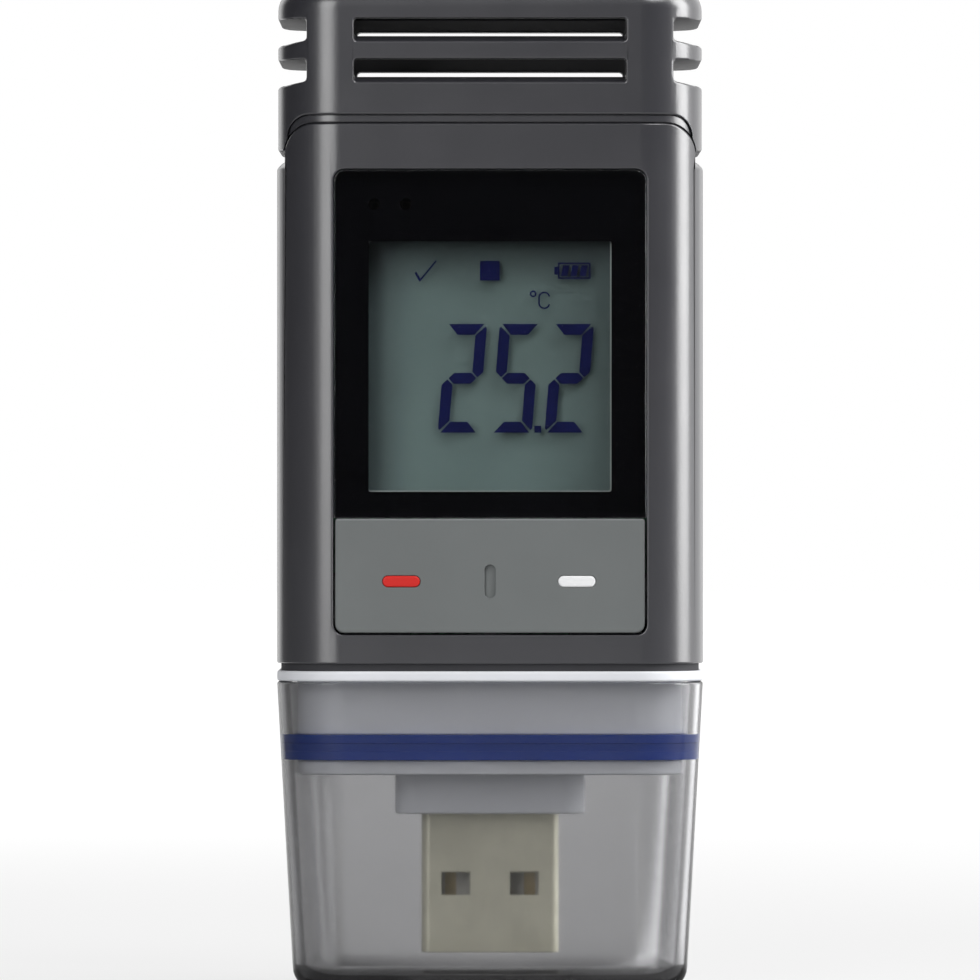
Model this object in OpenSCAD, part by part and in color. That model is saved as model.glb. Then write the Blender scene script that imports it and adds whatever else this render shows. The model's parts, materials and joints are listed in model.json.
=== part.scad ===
// Pocket temperature data logger standing on its clear plug cap.
// Millimetres. X is right, Y is back, Z is up. The display faces -Y.
// The origin is at the middle of the underside.
// The casing takes its width and depth from what it holds, and its height from the row
// of plug, key, display and sensor cap, so a changed part carries the rest with it.

/* [Casing] */
// Radius of the casing's upright corners
body_r = 5.6; // [4.6:0.1:6.4]
// Wall thickness of the casing
wall = 1.8; // [1.5:0.1:2.1]
// Room between the screw posts and the casing's sides
post_side = 1.1; // [0.9:0.05:1.6]
// Thickness of the gasket under the casing
gasket_t = 0.65; // [0.5:0.05:0.8]
// How far the gasket is set in from the casing
gasket_in = 0.35; // [0.25:0.05:0.5]
// Height from the casing's lower edge to the key's opening
sill_h = 2.52; // [2.1:0.02:3]
// Height of the front edge over the shoulder at the sides
shoulder_drop = 3.28; // [2.8:0.02:3.8]
// Radius of the arch that leads from the front edge down to the shoulder
arch_r = 2.58; // [2.1:0.02:2.76]
// How far the arch ends inside the casing's side
arch_in = 0.72; // [0.6:0.02:0.86]
// How far the neck under the sensor cap is set in from the casing
neck_in = 0.65; // [0.55:0.05:0.75]
// Height of the neck over the casing's front edge
neck_h = 1.42; // [1.2:0.02:1.7]
// Place of the seam between the two shells, along Y
seam_y = 1; // [0.6:0.1:1.4]
// Thickness of the tongue that closes the seam
tongue_t = 0.75; // [0.6:0.05:0.9]
// Reach of the tongue across the seam
tongue_l = 1; // [0.6:0.1:1.4]
// Width left beside the bare label on the back
label_side = 6.6; // [5.6:0.2:9]
// How far the label reaches past the view area, above and below
label_up = 2.1; // [0.5:0.1:2.5]
// Thickness of the label
label_t = 0.2; // [0.1:0.05:0.3]

/* [Sensor cap] */
// How far the sensor cap is set in from the casing
vent_in = 0.1; // [0.05:0.05:0.15]
// Height of the chamber over the neck
chamber_h = 8.8; // [7.2:0.1:11]
// Thickness of the sensor cap's top
vent_top_t = 1.8; // [1.5:0.1:2.2]
// Radius of the sensor cap's upper edge
vent_edge_r = 2; // [1.2:0.1:2.2]
// How far the chamber's ends are set in from the casing's sides
chamber_in = 3.9; // [3.3:0.1:4.6]
// Height of the skirts' ends over the casing's shoulder
skirt_up = 0.8; // [0.6:0.05:1]
// Height of the sensor cap's lower edge over the casing's front edge
vent_up = 0.78; // [0.6:0.02:0.94]
// Radius of the arch in the sensor cap's lower edge
vent_arch_r = 1.9; // [1.6:0.1:2.2]
// How far that arch ends inside the casing's arch
vent_arch_in = 0.23; // [0.15:0.01:0.3]
// How far the front slots end inside the chamber's ends
slot_in = 2.85; // [2.2:0.05:5]
// Depth of the upper slot's ceiling under the chamber's ceiling
slot_drop = 1.05; // [0.8:0.05:1.3]
// Step from the upper slot to the lower one
slot_pitch = 3.55; // [3:0.05:4]
// Height of a slot from its outer floor to its ceiling
slot_h = 2.05; // [1.6:0.05:2.4]
// Rise of a slot's floor from outside to inside
slot_rise = 0.5; // [0.3:0.05:0.6]
// How far the side notches reach in from the casing's sides
notch_in = 2.65; // [2.2:0.05:3.1]
// Height of a side notch at its inner end
notch_h = 1.9; // [1:0.05:2.1]
// Fall of a notch's floor from inside to outside
notch_fall = 0.45; // [0.3:0.05:1]
// Depth left beside the opening from a side notch into the chamber
side_vent_in = 6.5; // [5.4:0.1:8]

/* [Protective cap] */
// How much narrower the cap is at its foot, on each side
cap_foot_in = 1.45; // [1.1:0.05:1.75]
// Wall thickness of the cap
cap_wall = 1.1; // [0.9:0.05:1.3]
// Thickness of the cap's floor
cap_floor = 1.2; // [1:0.1:1.6]
// Radius of the cap's lower edge outside
cap_edge_r = 1.9; // [1.4:0.1:2.2]
// Radius of the cap's lower edge inside
cap_inner_r = 1.1; // [0.8:0.1:1.4]
// Gap between the cap's rim and the flange over it
rim_gap = 0.1; // [0.05:0.05:0.15]
// Gap between the plug's tip and the cap's floor
tip_gap = 1.97; // [1.6:0.01:2.4]

/* [Connector base] */
// Thickness of the flange
flange_t = 0.9; // [0.75:0.05:1.1]
// Height of the spigot that the cap goes over
spigot_h = 8.13; // [7:0.01:10]
// Gap between the spigot's lower end and the cap
spigot_gap = 0.21; // [0.15:0.01:0.3]
// Wall thickness of the spigot
spigot_wall = 1.6; // [1.3:0.1:2]
// Height of the plug of the base inside the casing
base_plug_h = 3; // [2.4:0.1:3.6]
// Wall thickness of that plug
base_plug_wall = 1.2; // [1:0.1:1.5]
// Height of the seal ring's lower edge over the spigot's end
seal_up = 1.3; // [1:0.05:1.6]
// Height of the seal ring
seal_h = 2.2; // [1.9:0.1:2.7]
// Depth of the seal's groove
seal_groove = 0.7; // [0.5:0.05:0.85]
// How much farther than the spigot's gap the seal's ribs stand out
seal_press = 0.05; // [0.01:0.01:0.06]
// Height of one rib of the seal
seal_rib_h = 0.75; // [0.6:0.05:0.9]
// Height of the collar round the plug
collar_h = 3.5; // [2.8:0.1:4.2]
// Width of the collar beside the plug
collar_side = 2.3; // [2:0.1:3.2]
// Depth of the collar in front of the plug and behind it
collar_over = 2.35; // [1.6:0.05:2.8]
// Corner radius of the collar
collar_r = 1.4; // [1:0.1:1.9]

/* [Plug] */
// Width of the plug's metal shell
usb_w = 12; // [10:0.1:14.4]
// Thickness of the plug's metal shell
usb_t = 4.5; // [3.8:0.1:5.4]
// Length of the shell outside the collar
usb_out = 12.2; // [10.2:0.1:14.8]
// Length of the shell over the spigot's floor
usb_in = 3.5; // [2.9:0.1:4.4]
// Corner radius of the shell
usb_r = 0.6; // [0.4:0.05:0.7]
// Sheet thickness of the shell
usb_sheet = 0.3; // [0.25:0.05:0.35]
// Width of a window in the shell
usb_hole_w = 2.5; // [2:0.1:2.9]
// Height of a window in the shell
usb_hole_h = 2; // [1.6:0.1:2.4]
// Height of the windows' middles over the plug's tip
usb_hole_up = 6.02; // [5.2:0.01:7.4]
// Thickness of the plug's plastic tongue
usb_tongue_t = 1.9; // [1.5:0.05:2.3]
// Width of one contact
usb_contact_w = 1; // [0.8:0.1:1.2]
// Thickness of one contact
usb_contact_t = 0.15; // [0.1:0.01:0.2]

/* [Window and display] */
// Width left beside the display's glass, inside the casing
glass_side = 4.6; // [4:0.1:5.4]
// Height of the display's front glass
glass_h = 24.5; // [20:0.1:29]
// Thickness of each of the two glasses
glass_t = 0.7; // [0.5:0.05:0.85]
// How much lower the rear glass ends
glass_step = 1.4; // [1.1:0.1:1.7]
// Width of the window beside the glass
window_side = 1.5; // [1.2:0.1:1.8]
// Height of the window under the glass
window_under = 1.31; // [1.1:0.01:1.6]
// Height of the window over the glass
window_over = 4.28; // [3.5:0.02:5]
// Gap between the key's opening and the window
window_gap = 0.11; // [0.08:0.01:0.14]
// Corner radius of the window
window_r = 1; // [0.6:0.1:1.4]
// Thickness of the window's pane
window_t = 1; // [0.8:0.05:1.2]
// Thickness of the print behind the pane
mask_t = 0.1; // [0.05:0.01:0.15]
// Width of the glass hidden beside the view area
view_side = 1.65; // [1.3:0.05:2]
// Height of the glass hidden under the view area
view_under = 0.8; // [0.6:0.05:1]
// Height of the glass hidden over the view area
view_over = 1.9; // [1.5:0.05:2.3]
// Thickness of the display's reflector
reflector_t = 0.2; // [0.15:0.01:0.25]
// Room between the display and the board
display_room = 2.8; // [2.3:0.05:3.4]
// Wall thickness of the frame beside the glass
holder_wall = 0.9; // [0.7:0.05:1.1]
// Thickness of the frame over the glass
holder_top = 0.4; // [0.3:0.05:0.5]
// Width of the ledge behind the display
holder_ledge = 1.2; // [1:0.1:1.5]
// Distance of the first signal lamp from the view area's left edge
lamp_side = 0.48; // [0.38:0.02:0.58]
// Step from one signal lamp to the next
lamp_step = 2.74; // [2.2:0.02:3.3]
// Height of the signal lamps over the glass
lamp_up = 1.3; // [1.1:0.05:1.6]
// Radius of a lamp's light pipe
lamp_r = 0.65; // [0.5:0.05:0.8]

/* [Reading] */
// Thickness of the dark segments
ink_t = 0.1; // [0.05:0.01:0.12]
// Width of a digit
digit_w = 3.55; // [3:0.05:4.2]
// Space between two digits
digit_space = 1.1; // [0.8:0.05:1.3]
// Distance of the last digit from the view area's right edge
digit_side = 1.5; // [1.2:0.05:1.8]
// Thickness of a segment
digit_bar = 0.95; // [0.75:0.05:1.15]
// Gap between two segments
digit_gap = 0.09; // [0.06:0.01:0.18]
// Height of the digits, as a share of the view area
digit_h_share = 0.434; // [0.36:0.002:0.45]
// Height of the digits' foot in the view area, as a share of it
digit_foot_share = 0.236; // [0.2:0.002:0.25]
// Lean of the digits, as sideways travel over height
lean_share = 0.08; // [0:0.01:0.1]

/* [Key] */
// Height of the key's opening
key_open_h = 10.21; // [8.4:0.01:12.2]
// How much narrower than the window the opening is, on each side
key_open_in = 0.2; // [0.16:0.01:0.24]
// Gap round the key
key_gap = 0.15; // [0.12:0.01:0.18]
// Corner radius of the key
key_r = 0.75; // [0.5:0.05:0.9]
// Thickness of the key
key_t = 1.6; // [1.3:0.1:1.9]
// How far the key's face lies behind the casing's front
key_in = 0.1; // [0:0.01:0.12]
// Distance of the key's axle behind its plate
axle_back = 1.2; // [1:0.05:1.4]
// Radius of the barrel round the axle
barrel_r = 1.1; // [0.9:0.05:1.3]
// Radius of the axle's ends
axle_r = 0.5; // [0.4:0.02:0.6]
// Length of each of the axle's ends
axle_l = 1; // [0.8:0.05:1.2]
// Depth of the inlays' middle under the key's middle
mark_drop = 0.475; // [0.4:0.005:0.6]
// How much nearer to the middle the right inlay sits
mark_shift = 0.15; // [0:0.01:0.2]
// Width of an inlay
mark_w = 3.3; // [2.7:0.1:3.9]
// Height of an inlay
mark_h = 1; // [0.8:0.01:1.35]
// Depth of an inlay and of the groove in the key's middle
mark_t = 0.3; // [0.2:0.05:0.4]
// Width of the groove in the key's middle
groove_w = 0.95; // [0.75:0.05:1.15]
// Height of the groove in the key's middle
groove_h = 2.92; // [2.4:0.02:3.5]
// Radius of one of the key's two feet
foot_r = 1; // [0.8:0.05:1.2]
// Space between a snap dome and the screw boss beside it
foot_side = 0.5; // [0.3:0.05:0.8]
// Travel between a foot and its snap dome at rest
foot_gap = 0.1; // [0.05:0.01:0.12]
// Radius of a snap dome
dome_r = 2.2; // [1.8:0.1:2.6]
// Height of a snap dome
dome_h = 0.35; // [0.25:0.05:0.45]

/* [Board] */
// Thickness of the board
board_t = 1; // [0.8:0.05:1.2]
// Gap between the board and the casing's sides
board_side = 0.4; // [0.3:0.05:0.6]
// Height of the wide part's lower edge over the lower screws
board_under = 0.1; // [0.08:0.01:0.3]
// Gap between the wide part and the lid's ledge
board_over = 0.2; // [0.15:0.05:0.3]
// Width of the board's lower tab, behind the plug
board_foot_w = 14; // [11.6:0.2:16.6]
// Width of the board's upper tab, for the sensor
board_tab_w = 9; // [7.4:0.2:10.8]
// Side of the microcontroller
mcu_w = 6; // [5:0.1:7]
// Height of a chip over the board
chip_t = 1.4; // [1.1:0.1:1.7]
// Length of the clock crystal's can
crystal_l = 6; // [5:0.1:7]
// Radius of the clock crystal's can
crystal_r = 1; // [0.8:0.05:1.2]
// Heights of the small capacitors from the chips' middle
cap_zs = [-9, -6.6, -4.2, 6.2]; // [-10.8:0.1:7.4]
// Width of the sensor chip
sensor_w = 2.4; // [2:0.1:2.9]
// Height of the sensor chip
sensor_h = 1.3; // [1.1:0.1:1.5]
// Thickness of the sensor chip
sensor_t = 0.8; // [0.6:0.05:0.95]
// Height of the guard over the sensor
guard_h = 2.4; // [2.1:0.05:2.9]
// Room beside the board's tab in the guard
guard_side = 0.8; // [0.6:0.05:1]
// Room in front of the board's tab and behind it in the guard
guard_room = 1.1; // [1:0.05:1.4]
// Wall thickness of the guard
guard_wall = 0.7; // [0.55:0.05:0.85]

/* [Battery] */
// Radius of the half AA cell
cell_r = 7.25; // [6:0.05:8.6]
// Length of the cell's can
cell_l = 25; // [20.6:0.1:29.6]
// Room between the cell and the board, and behind the cell
cell_room = 0.15; // [0.1:0.01:0.2]
// Radius of the cell's button
button_r = 2.4; // [2:0.1:2.9]
// Height of the cell's button
button_h = 0.8; // [0.6:0.05:1]
// Gap round the cell in its holder
cell_gap = 0.25; // [0.2:0.01:0.3]
// Wall thickness of the holder beside the cell
holder_side = 1.5; // [1.2:0.1:1.8]
// Thickness of the holder's floor
cell_floor = 1.4; // [1.1:0.1:1.7]
// Room for the spring between the floor and the cell
spring_room = 3; // [2.4:0.1:3.6]
// Height of the can that stands out of the holder
holder_drop = 4; // [3.2:0.1:8]
// Thickness of the contact strips
strip_t = 0.25; // [0.2:0.01:0.3]
// Width of the contact strips
strip_w = 2.2; // [1.8:0.1:2.6]
// Side of a contact strip's plate
contact_plate = 6; // [5:0.1:7]
// Room between the cell's button and the top lid
lid_room = 2.2; // [1.8:0.1:2.6]
// Thickness of the top lid
lid_t = 1.9; // [1.6:0.05:2.3]
// Height of the ledge that carries the top lid
ledge_h = 0.6; // [0.5:0.05:0.75]
// Width of that ledge
ledge_w = 0.8; // [0.6:0.05:1]
// Height of the lid's seal
lid_seal_h = 0.7; // [0.55:0.05:0.75]
// Depth of the groove for the lid's seal
lid_seal_t = 0.6; // [0.5:0.05:0.75]
// Width of the lid's pull tab
pull_w = 10; // [8.2:0.2:12]
// Thickness of the lid's pull tab
pull_t = 1.2; // [1:0.1:1.5]
// Height of the lid's pull tab
pull_h = 1.7; // [1.4:0.1:2.1]

/* [Screws] */
// Radius of a screw's shank, over its thread
screw_r = 0.95; // [0.8:0.05:1.1]
// Radius of a screw's head
screw_head_r = 1.9; // [1.6:0.1:2.2]
// Height of a screw's head
screw_head_h = 1.3; // [1.1:0.1:1.6]
// Depth of the well over a screw's head seat
screw_well = 3.5; // [2.9:0.1:4.2]
// Reach of a screw into the front shell
screw_in = 6.5; // [5.4:0.1:7.8]
// Radius of the front shell's bosses
boss_r = 2.2; // [1.8:0.1:2.6]
// Radius of the rear shell's posts
post_r = 3.1; // [2.6:0.1:3.7]
// Gap between the posts and the cell's holder
post_gap = 0.5; // [0.3:0.05:0.8]
// Gap between the lower posts and the base's plug
post_low_gap = 0.2; // [0.1:0.05:0.4]
// Gap between the upper posts and the lid's ledge
post_high_gap = 0.9; // [0.5:0.05:1.2]
// Gap between the upper bosses and the display's frame
boss_gap = 0.6; // [0.4:0.05:1]
// Thickness of the webs that tie the bosses to the walls
web_t = 1.2; // [1:0.1:1.5]

/* [Fits] */
// Gap between a seated panel and its recess, on each side
seat_gap = 0.05; // [0.03:0.01:0.06]
// Gap between an axle end and its bore
axle_gap = 0.05; // [0.04:0.01:0.06]
// Gap between the sensor cap and the neck
neck_gap = 0.05; // [0.04:0.01:0.08]
// Gap between the tongue and its rebate
tongue_gap = 0.05; // [0.04:0.01:0.08]
// Gap between the board and what it stands round
board_gap = 0.25; // [0.2:0.01:0.3]

/* [Hidden] */
$fn = 48;
hull_fn = 32;
rim_h = 0.2;
// How far a cutter reaches past the face that it cuts
cut = 1;
// How far two pieces of one solid reach into each other
bond = 0.4;
// Width, from the cell outwards
cell_holder_x = cell_r + cell_gap + holder_side;
screw_x = cell_holder_x + post_gap + post_r;
inner_x = screw_x + post_r + post_side;
half_w = inner_x + wall;
body_w = 2 * half_w;
board_w = 2 * (inner_x - board_side);
chip_x = (cell_holder_x + board_w / 2) / 2;
glass_w = 2 * (inner_x - glass_side);
view_w = glass_w - 2 * view_side;
window_w = glass_w + 2 * window_side;
key_open_w = window_w - 2 * key_open_in;
key_w = key_open_w - 2 * key_gap;
foot_x = screw_x - boss_r - dome_r - foot_side;
mark_xs = [-foot_x, foot_x - mark_shift];
lamp_xs = [lamp_side - view_w / 2, lamp_side + lamp_step - view_w / 2];
// Depth, from the window to the cell
front_depth = wall + mask_t + 2 * glass_t + ink_t + reflector_t + display_room;
body_d = front_depth + board_t + 2 * (cell_room + cell_r) + wall;
half_d = body_d / 2;
front_y = -half_d;
inner_front_y = front_y + wall;
rear_inner_y = half_d - wall;
window_y1 = front_y + window_t;
mask_y1 = window_y1 + mask_t;
glass_y0 = inner_front_y + mask_t;
glass_y1 = glass_y0 + glass_t;
ink_y1 = glass_y1 + ink_t;
glass_rear_y1 = ink_y1 + glass_t;
reflector_y1 = glass_rear_y1 + reflector_t;
board_y0 = front_y + front_depth;
board_y1 = board_y0 + board_t;
tab_y = (board_y0 + board_y1) / 2;
cell_y = board_y1 + cell_room + cell_r;
key_y0 = front_y + key_in;
key_y1 = key_y0 + key_t;
axle_y = key_y1 + axle_back;
dome_y0 = board_y0 - dome_h;
usb_y = board_y1 + usb_t / 2;
screw_seat_y = half_d - screw_well;
// Height, from the protective cap's floor to the connector base
usb_z0 = cap_floor + tip_gap;
collar_z0 = usb_z0 + usb_out;
spigot_z0 = collar_z0 + collar_h;
spigot_floor_z = spigot_z0 + spigot_wall;
usb_z1 = spigot_floor_z + usb_in;
usb_hole_z = usb_z0 + usb_hole_up;
flange_z0 = spigot_z0 + spigot_h;
flange_z1 = flange_z0 + flange_t;
plug_z1 = flange_z1 + base_plug_h;
cap_h = flange_z0 - rim_gap;
seal_z0 = spigot_z0 + seal_up;
seal_z1 = seal_z0 + seal_h;
// Height, from the casing's lower edge to the window
body_z0 = flange_z1 + gasket_t;
key_z0 = body_z0 + sill_h;
key_z1 = key_z0 + key_open_h;
key_h = key_open_h - 2 * key_gap;
key_zc = (key_z0 + key_z1) / 2;
mark_z = key_zc - mark_drop;
window_z0 = key_z1 + window_gap;
glass_z0 = window_z0 + window_under;
glass_z1 = glass_z0 + glass_h;
glass_rear_z1 = glass_z1 - glass_step;
window_z1 = glass_z1 + window_over;
window_h = window_z1 - window_z0;
window_zc = (window_z0 + window_z1) / 2;
view_z0 = glass_z0 + view_under;
view_h = glass_h - view_under - view_over;
view_z = view_z0 + view_h / 2;
lamp_z = glass_z1 + lamp_up;
label_w = body_w - 2 * label_side;
label_h = view_h + 2 * label_up;
// Height, from the screws to the sensor cap
screw_low_z = plug_z1 + post_low_gap + post_r;
screw_high_z = glass_z1 + holder_top + boss_gap + boss_r;
screw_zs = [screw_low_z, screw_high_z];
lid_z0 = screw_high_z + post_r + post_high_gap + ledge_h;
neck_z1 = lid_z0 + lid_t;
body_z1 = neck_z1 - neck_h;
shoulder_z = body_z1 - shoulder_drop;
skirt_z = shoulder_z + skirt_up;
vent_z0 = body_z1 + vent_up;
chamber_z1 = neck_z1 + chamber_h;
overall_h = chamber_z1 + vent_top_t;
slot_ceilings = [chamber_z1 - slot_drop, chamber_z1 - slot_drop - slot_pitch];
guard_z1 = neck_z1 + guard_h;
board_z0 = screw_low_z + board_under;
board_z1 = lid_z0 - ledge_h - board_over;
board_tab_z1 = guard_z1 - guard_wall - 3 * seat_gap;
chip_z = (screw_low_z + screw_high_z) / 2;
cell_z1 = lid_z0 - lid_room - button_h;
cell_z0 = cell_z1 - cell_l;
cell_floor_z = cell_z0 - spring_room;
// Sizes that follow from others
arch_x = half_w - arch_in;
vent_arch_x = arch_x - vent_arch_in;
chamber_x = half_w - chamber_in;
slot_x = chamber_x - slot_in;
notch_x = half_w - notch_in;
side_vent_y = half_d - side_vent_in;
vent_corner_r = body_r - vent_in;
vent_edge = min(vent_edge_r, vent_corner_r * 0.48);
cap_foot_r = body_r - cap_foot_in;
cap_edge = min(cap_edge_r, cap_foot_r * 0.48);
cap_inner_edge = min(cap_inner_r, (cap_foot_r - cap_wall) * 0.48);
cap_lean_share = cap_foot_in / (cap_h - rim_h - cap_floor - cap_inner_r);
spigot_in = cap_wall + cap_lean_share * (cap_h - rim_h - spigot_z0) + spigot_gap;
spigot_w = body_w - 2 * spigot_in;
spigot_d = body_d - 2 * spigot_in;
spigot_r = body_r - spigot_in * 2 / 3;
seal_rib = spigot_gap + seal_press;
collar_w = usb_w + 2 * collar_side;
collar_d = usb_t + 2 * collar_over;
usb_contact_x = [usb_w / 12, usb_w * 0.29];
usb_hole_x = usb_w / 4;
guard_w = board_tab_w + 2 * (guard_side + guard_wall);
guard_d = board_t + 2 * (guard_room + guard_wall);
digit_h = view_h * digit_h_share;
digit_z = view_z0 + view_h * digit_foot_share;
digit_step = digit_w + digit_space;
digit_x = view_w / 2 - digit_side - 2 * digit_step - digit_w - lean_share * digit_h;

// Outline of a rectangle with round corners
module rounded_rect(w, d, r) {
    square([w - 2 * r, d], center = true);
    square([w, d - 2 * r], center = true);
    for (x = [-1, 1], y = [-1, 1])
        translate([x * (w / 2 - r), y * (d / 2 - r)])
            circle(r = r);
}

// Block with round upright corners between two heights
module slab(w, d, r, z0, z1) {
    translate([0, 0, z0])
        linear_extrude(height = z1 - z0)
            rounded_rect(w, d, r);
}

// Block that follows the casing's plan, set in by a distance
module plan_slab(inset, z0, z1) {
    slab(body_w - 2 * inset, body_d - 2 * inset, body_r - inset, z0, z1);
}

// Ring between two plans of the casing
module plan_ring(outer, inner, z0, z1) {
    difference() {
        plan_slab(outer, z0, z1);
        plan_slab(inner, z0 - cut, z1 + cut);
    }
}

// Block between two opposite corners
module box(low, high) {
    translate(low)
        cube(high - low);
}

// Plate that faces the front, between two places along Y
module plate(w, h, r, zc, y0, y1) {
    translate([0, y1, zc])
        rotate([90, 0, 0])
            linear_extrude(height = y1 - y0)
                rounded_rect(w, h, r);
}

// Outline in X and Z, carried from one place along Y to another
module facing(y0, y1) {
    translate([0, y1, 0])
        rotate([90, 0, 0])
            linear_extrude(height = y1 - y0)
                children();
}

// Round bar along Y
module bar_y(r, x, z, y0, y1) {
    translate([x, y1, z])
        rotate([90, 0, 0])
            cylinder(r = r, h = y1 - y0);
}

// Arched outline: a field with two round upper corners, as half width, arch radius and top
module arch(half, r, top, bottom) {
    translate([r - half, bottom])
        square([2 * (half - r), top - bottom]);
    translate([-half, bottom])
        square([2 * half, top - r - bottom]);
    for (side = [-1, 1])
        translate([side * (half - r), top - r])
            circle(r = r);
}

// Everything below the casing's upper edge: wide below the shoulder, arched above
module below_edge(gap = 0) {
    translate([-body_w, 0])
        square([2 * body_w, shoulder_z + gap]);
    arch(arch_x + gap, arch_r + gap, body_z1 + gap, 0);
}

// Outside of both shells, with the neck above the arched edge
module casing_outside() {
    intersection() {
        plan_slab(0, body_z0, body_z1);
        facing(-body_d, body_d)
            below_edge();
    }
    plan_slab(neck_in, body_z0, neck_z1);
}

// Ledge that the top lid rests on
module lid_ledge() {
    plan_ring(wall - bond / 2, wall + ledge_w, lid_z0 - ledge_h, lid_z0);
}

// Four places of the screws
module at_screws() {
    for (side = [-1, 1], z = screw_zs)
        translate([side * screw_x, 0, z])
            children();
}

// Opening of the key, round cornered
module key_opening(y0, y1) {
    plate(key_open_w, key_z1 - key_z0, key_r + key_gap, key_zc, y0, y1);
}

// Bearing block of the key's axle between two heights
module key_lug(z0, z1) {
    difference() {
        box([-barrel_r * 1.5, inner_front_y - bond, z0], [barrel_r * 1.5, axle_y + barrel_r, z1]);
        translate([0, axle_y, z0 - cut])
            cylinder(r = axle_r + axle_gap, h = z1 - z0 + 2 * cut);
    }
}

module front_shell() {
    color("#43464b") {
        difference() {
            intersection() {
                casing_outside();
                box([-body_w, -body_d, 0], [body_w, seam_y, overall_h]);
            }
            plan_slab(wall, body_z0 - cut, neck_z1 + cut);
            facing(front_y - cut, mask_y1)
                window_field();
            plate(view_w + bond, view_h + bond, window_r, view_z, front_y - cut, inner_front_y + cut);
            for (x = lamp_xs)
                bar_y(lamp_r + seat_gap, x, lamp_z, front_y - cut, inner_front_y + cut);
            key_opening(front_y - cut, inner_front_y + cut);
            for (side = [-1, 1])
                tongue(side, tongue_gap);
        }
        intersection() {
            lid_ledge();
            box([-body_w, -body_d, 0], [body_w, seam_y, overall_h]);
        }
        key_lug(key_z1 + seat_gap, glass_z0 - 2 * key_gap - seat_gap);
        key_lug(key_z0 - barrel_r * 1.5 - seat_gap, key_z0 - seat_gap);
        for (side = [-1, 1], z = screw_zs)
            front_boss(side, z);
    }
}

// Recess of the window: the pane with its gap, open down to the key
module window_field() {
    translate([0, (window_z1 + key_z1) / 2])
        rounded_rect(window_w + 2 * seat_gap, window_z1 - key_z1 + 2 * seat_gap, window_r);
    translate([-window_w / 2 - seat_gap, key_z1 - seat_gap])
        square([window_w + 2 * seat_gap, window_r + seat_gap]);
}

// Tongue of the rear shell on one side, grown by a gap for its rebate
module tongue(side, gap) {
    mid_x = inner_x + tongue_t / 2;
    half = tongue_t / 2 + gap;
    box([side * mid_x - half, seam_y - tongue_l - gap, key_z0 - gap],
        [side * mid_x + half, seam_y + bond, window_z1 + gap]);
}

// Screw boss of the front shell, tied to the side wall by a web
module front_boss(side, z) {
    boss_y0 = axle_y - 2 * key_gap;
    translate([side * screw_x, 0, z])
        difference() {
            bar_y(boss_r, 0, 0, boss_y0, seam_y);
            bar_y(screw_r, 0, 0, boss_y0 - cut, seam_y + cut);
        }
    web_x = (screw_x + boss_r + inner_x) / 2;
    web_half = (inner_x - screw_x - boss_r + bond) / 2 + bond / 2;
    box([side * web_x - web_half, boss_y0, z - web_t / 2],
        [side * web_x + web_half, seam_y - tongue_l - 2 * tongue_gap, z + web_t / 2]);
}

module rear_shell() {
    color("#43464b") {
        difference() {
            union() {
                difference() {
                    intersection() {
                        casing_outside();
                        box([-body_w, seam_y, 0], [body_w, body_d, overall_h]);
                    }
                    plan_slab(wall, body_z0 - cut, neck_z1 + cut);
                }
                at_screws()
                    bar_y(post_r, 0, 0, seam_y, rear_inner_y + bond);
                intersection() {
                    lid_ledge();
                    box([-body_w, seam_y, 0], [body_w, body_d, overall_h]);
                }
                for (side = [-1, 1])
                    tongue(side, 0);
            }
            at_screws() {
                bar_y(screw_head_r + 2 * seat_gap, 0, 0, screw_seat_y, half_d + cut);
                bar_y(screw_r + seat_gap, 0, 0, seam_y - cut, half_d);
            }
            plate(label_w + 2 * seat_gap, label_h + 2 * seat_gap, window_r, view_z,
                half_d - label_t, half_d + cut);
        }
    }
}

module shell_screws() {
    color("#9a9a98")
        at_screws()
            difference() {
                union() {
                    bar_y(screw_head_r, 0, 0, screw_seat_y, screw_seat_y + screw_head_h);
                    bar_y(screw_r, 0, 0, seam_y - screw_in, screw_seat_y + screw_head_h / 2);
                }
                for (turn = [0, 90])
                    rotate([0, turn, 0])
                        box([-screw_r, screw_seat_y + screw_head_h / 2, -screw_r / 4],
                            [screw_r, screw_seat_y + screw_head_h + cut, screw_r / 4]);
            }
}

module top_lid() {
    color("#35373b")
        difference() {
            union() {
                plan_slab(wall, lid_z0, neck_z1);
                box([-pull_w / 2, cell_y, neck_z1 - bond], [pull_w / 2, cell_y + pull_t, neck_z1 + pull_h]);
            }
            plan_ring(0, wall + lid_seal_t, lid_z0 + lid_seal_h, lid_z0 + 2 * lid_seal_h);
            box([-board_tab_w / 2 - board_gap, board_y0 - board_gap, lid_z0 - cut],
                [board_tab_w / 2 + board_gap, board_y1 + board_gap, neck_z1 + cut]);
        }
}

module lid_seal() {
    color("#1d1d1f")
        plan_ring(wall, wall + lid_seal_t, lid_z0 + lid_seal_h, lid_z0 + 2 * lid_seal_h);
}

module rear_label() {
    color("#c9cbcc")
        plate(label_w, label_h, window_r, view_z, half_d - label_t, half_d);
}

module display_window() {
    color("#0b0b0d")
        plate(window_w, window_h, window_r, window_zc, front_y, window_y1);
}

module window_mask() {
    color("#050506")
        difference() {
            plate(window_w, window_h, window_r, window_zc, window_y1, mask_y1);
            plate(view_w, view_h, window_r / 2, view_z, window_y1 - cut, mask_y1 + cut);
            for (x = lamp_xs)
                bar_y(lamp_r, x, lamp_z, window_y1 - cut, mask_y1 + cut);
        }
}

module lcd_front_glass() {
    color("#5e6b6b")
        box([-glass_w / 2, glass_y0, glass_z0], [glass_w / 2, glass_y1, glass_z1]);
}

module lcd_rear_glass() {
    color("#66706f")
        box([-glass_w / 2, ink_y1, glass_z0], [glass_w / 2, glass_rear_y1, glass_rear_z1]);
}

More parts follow.
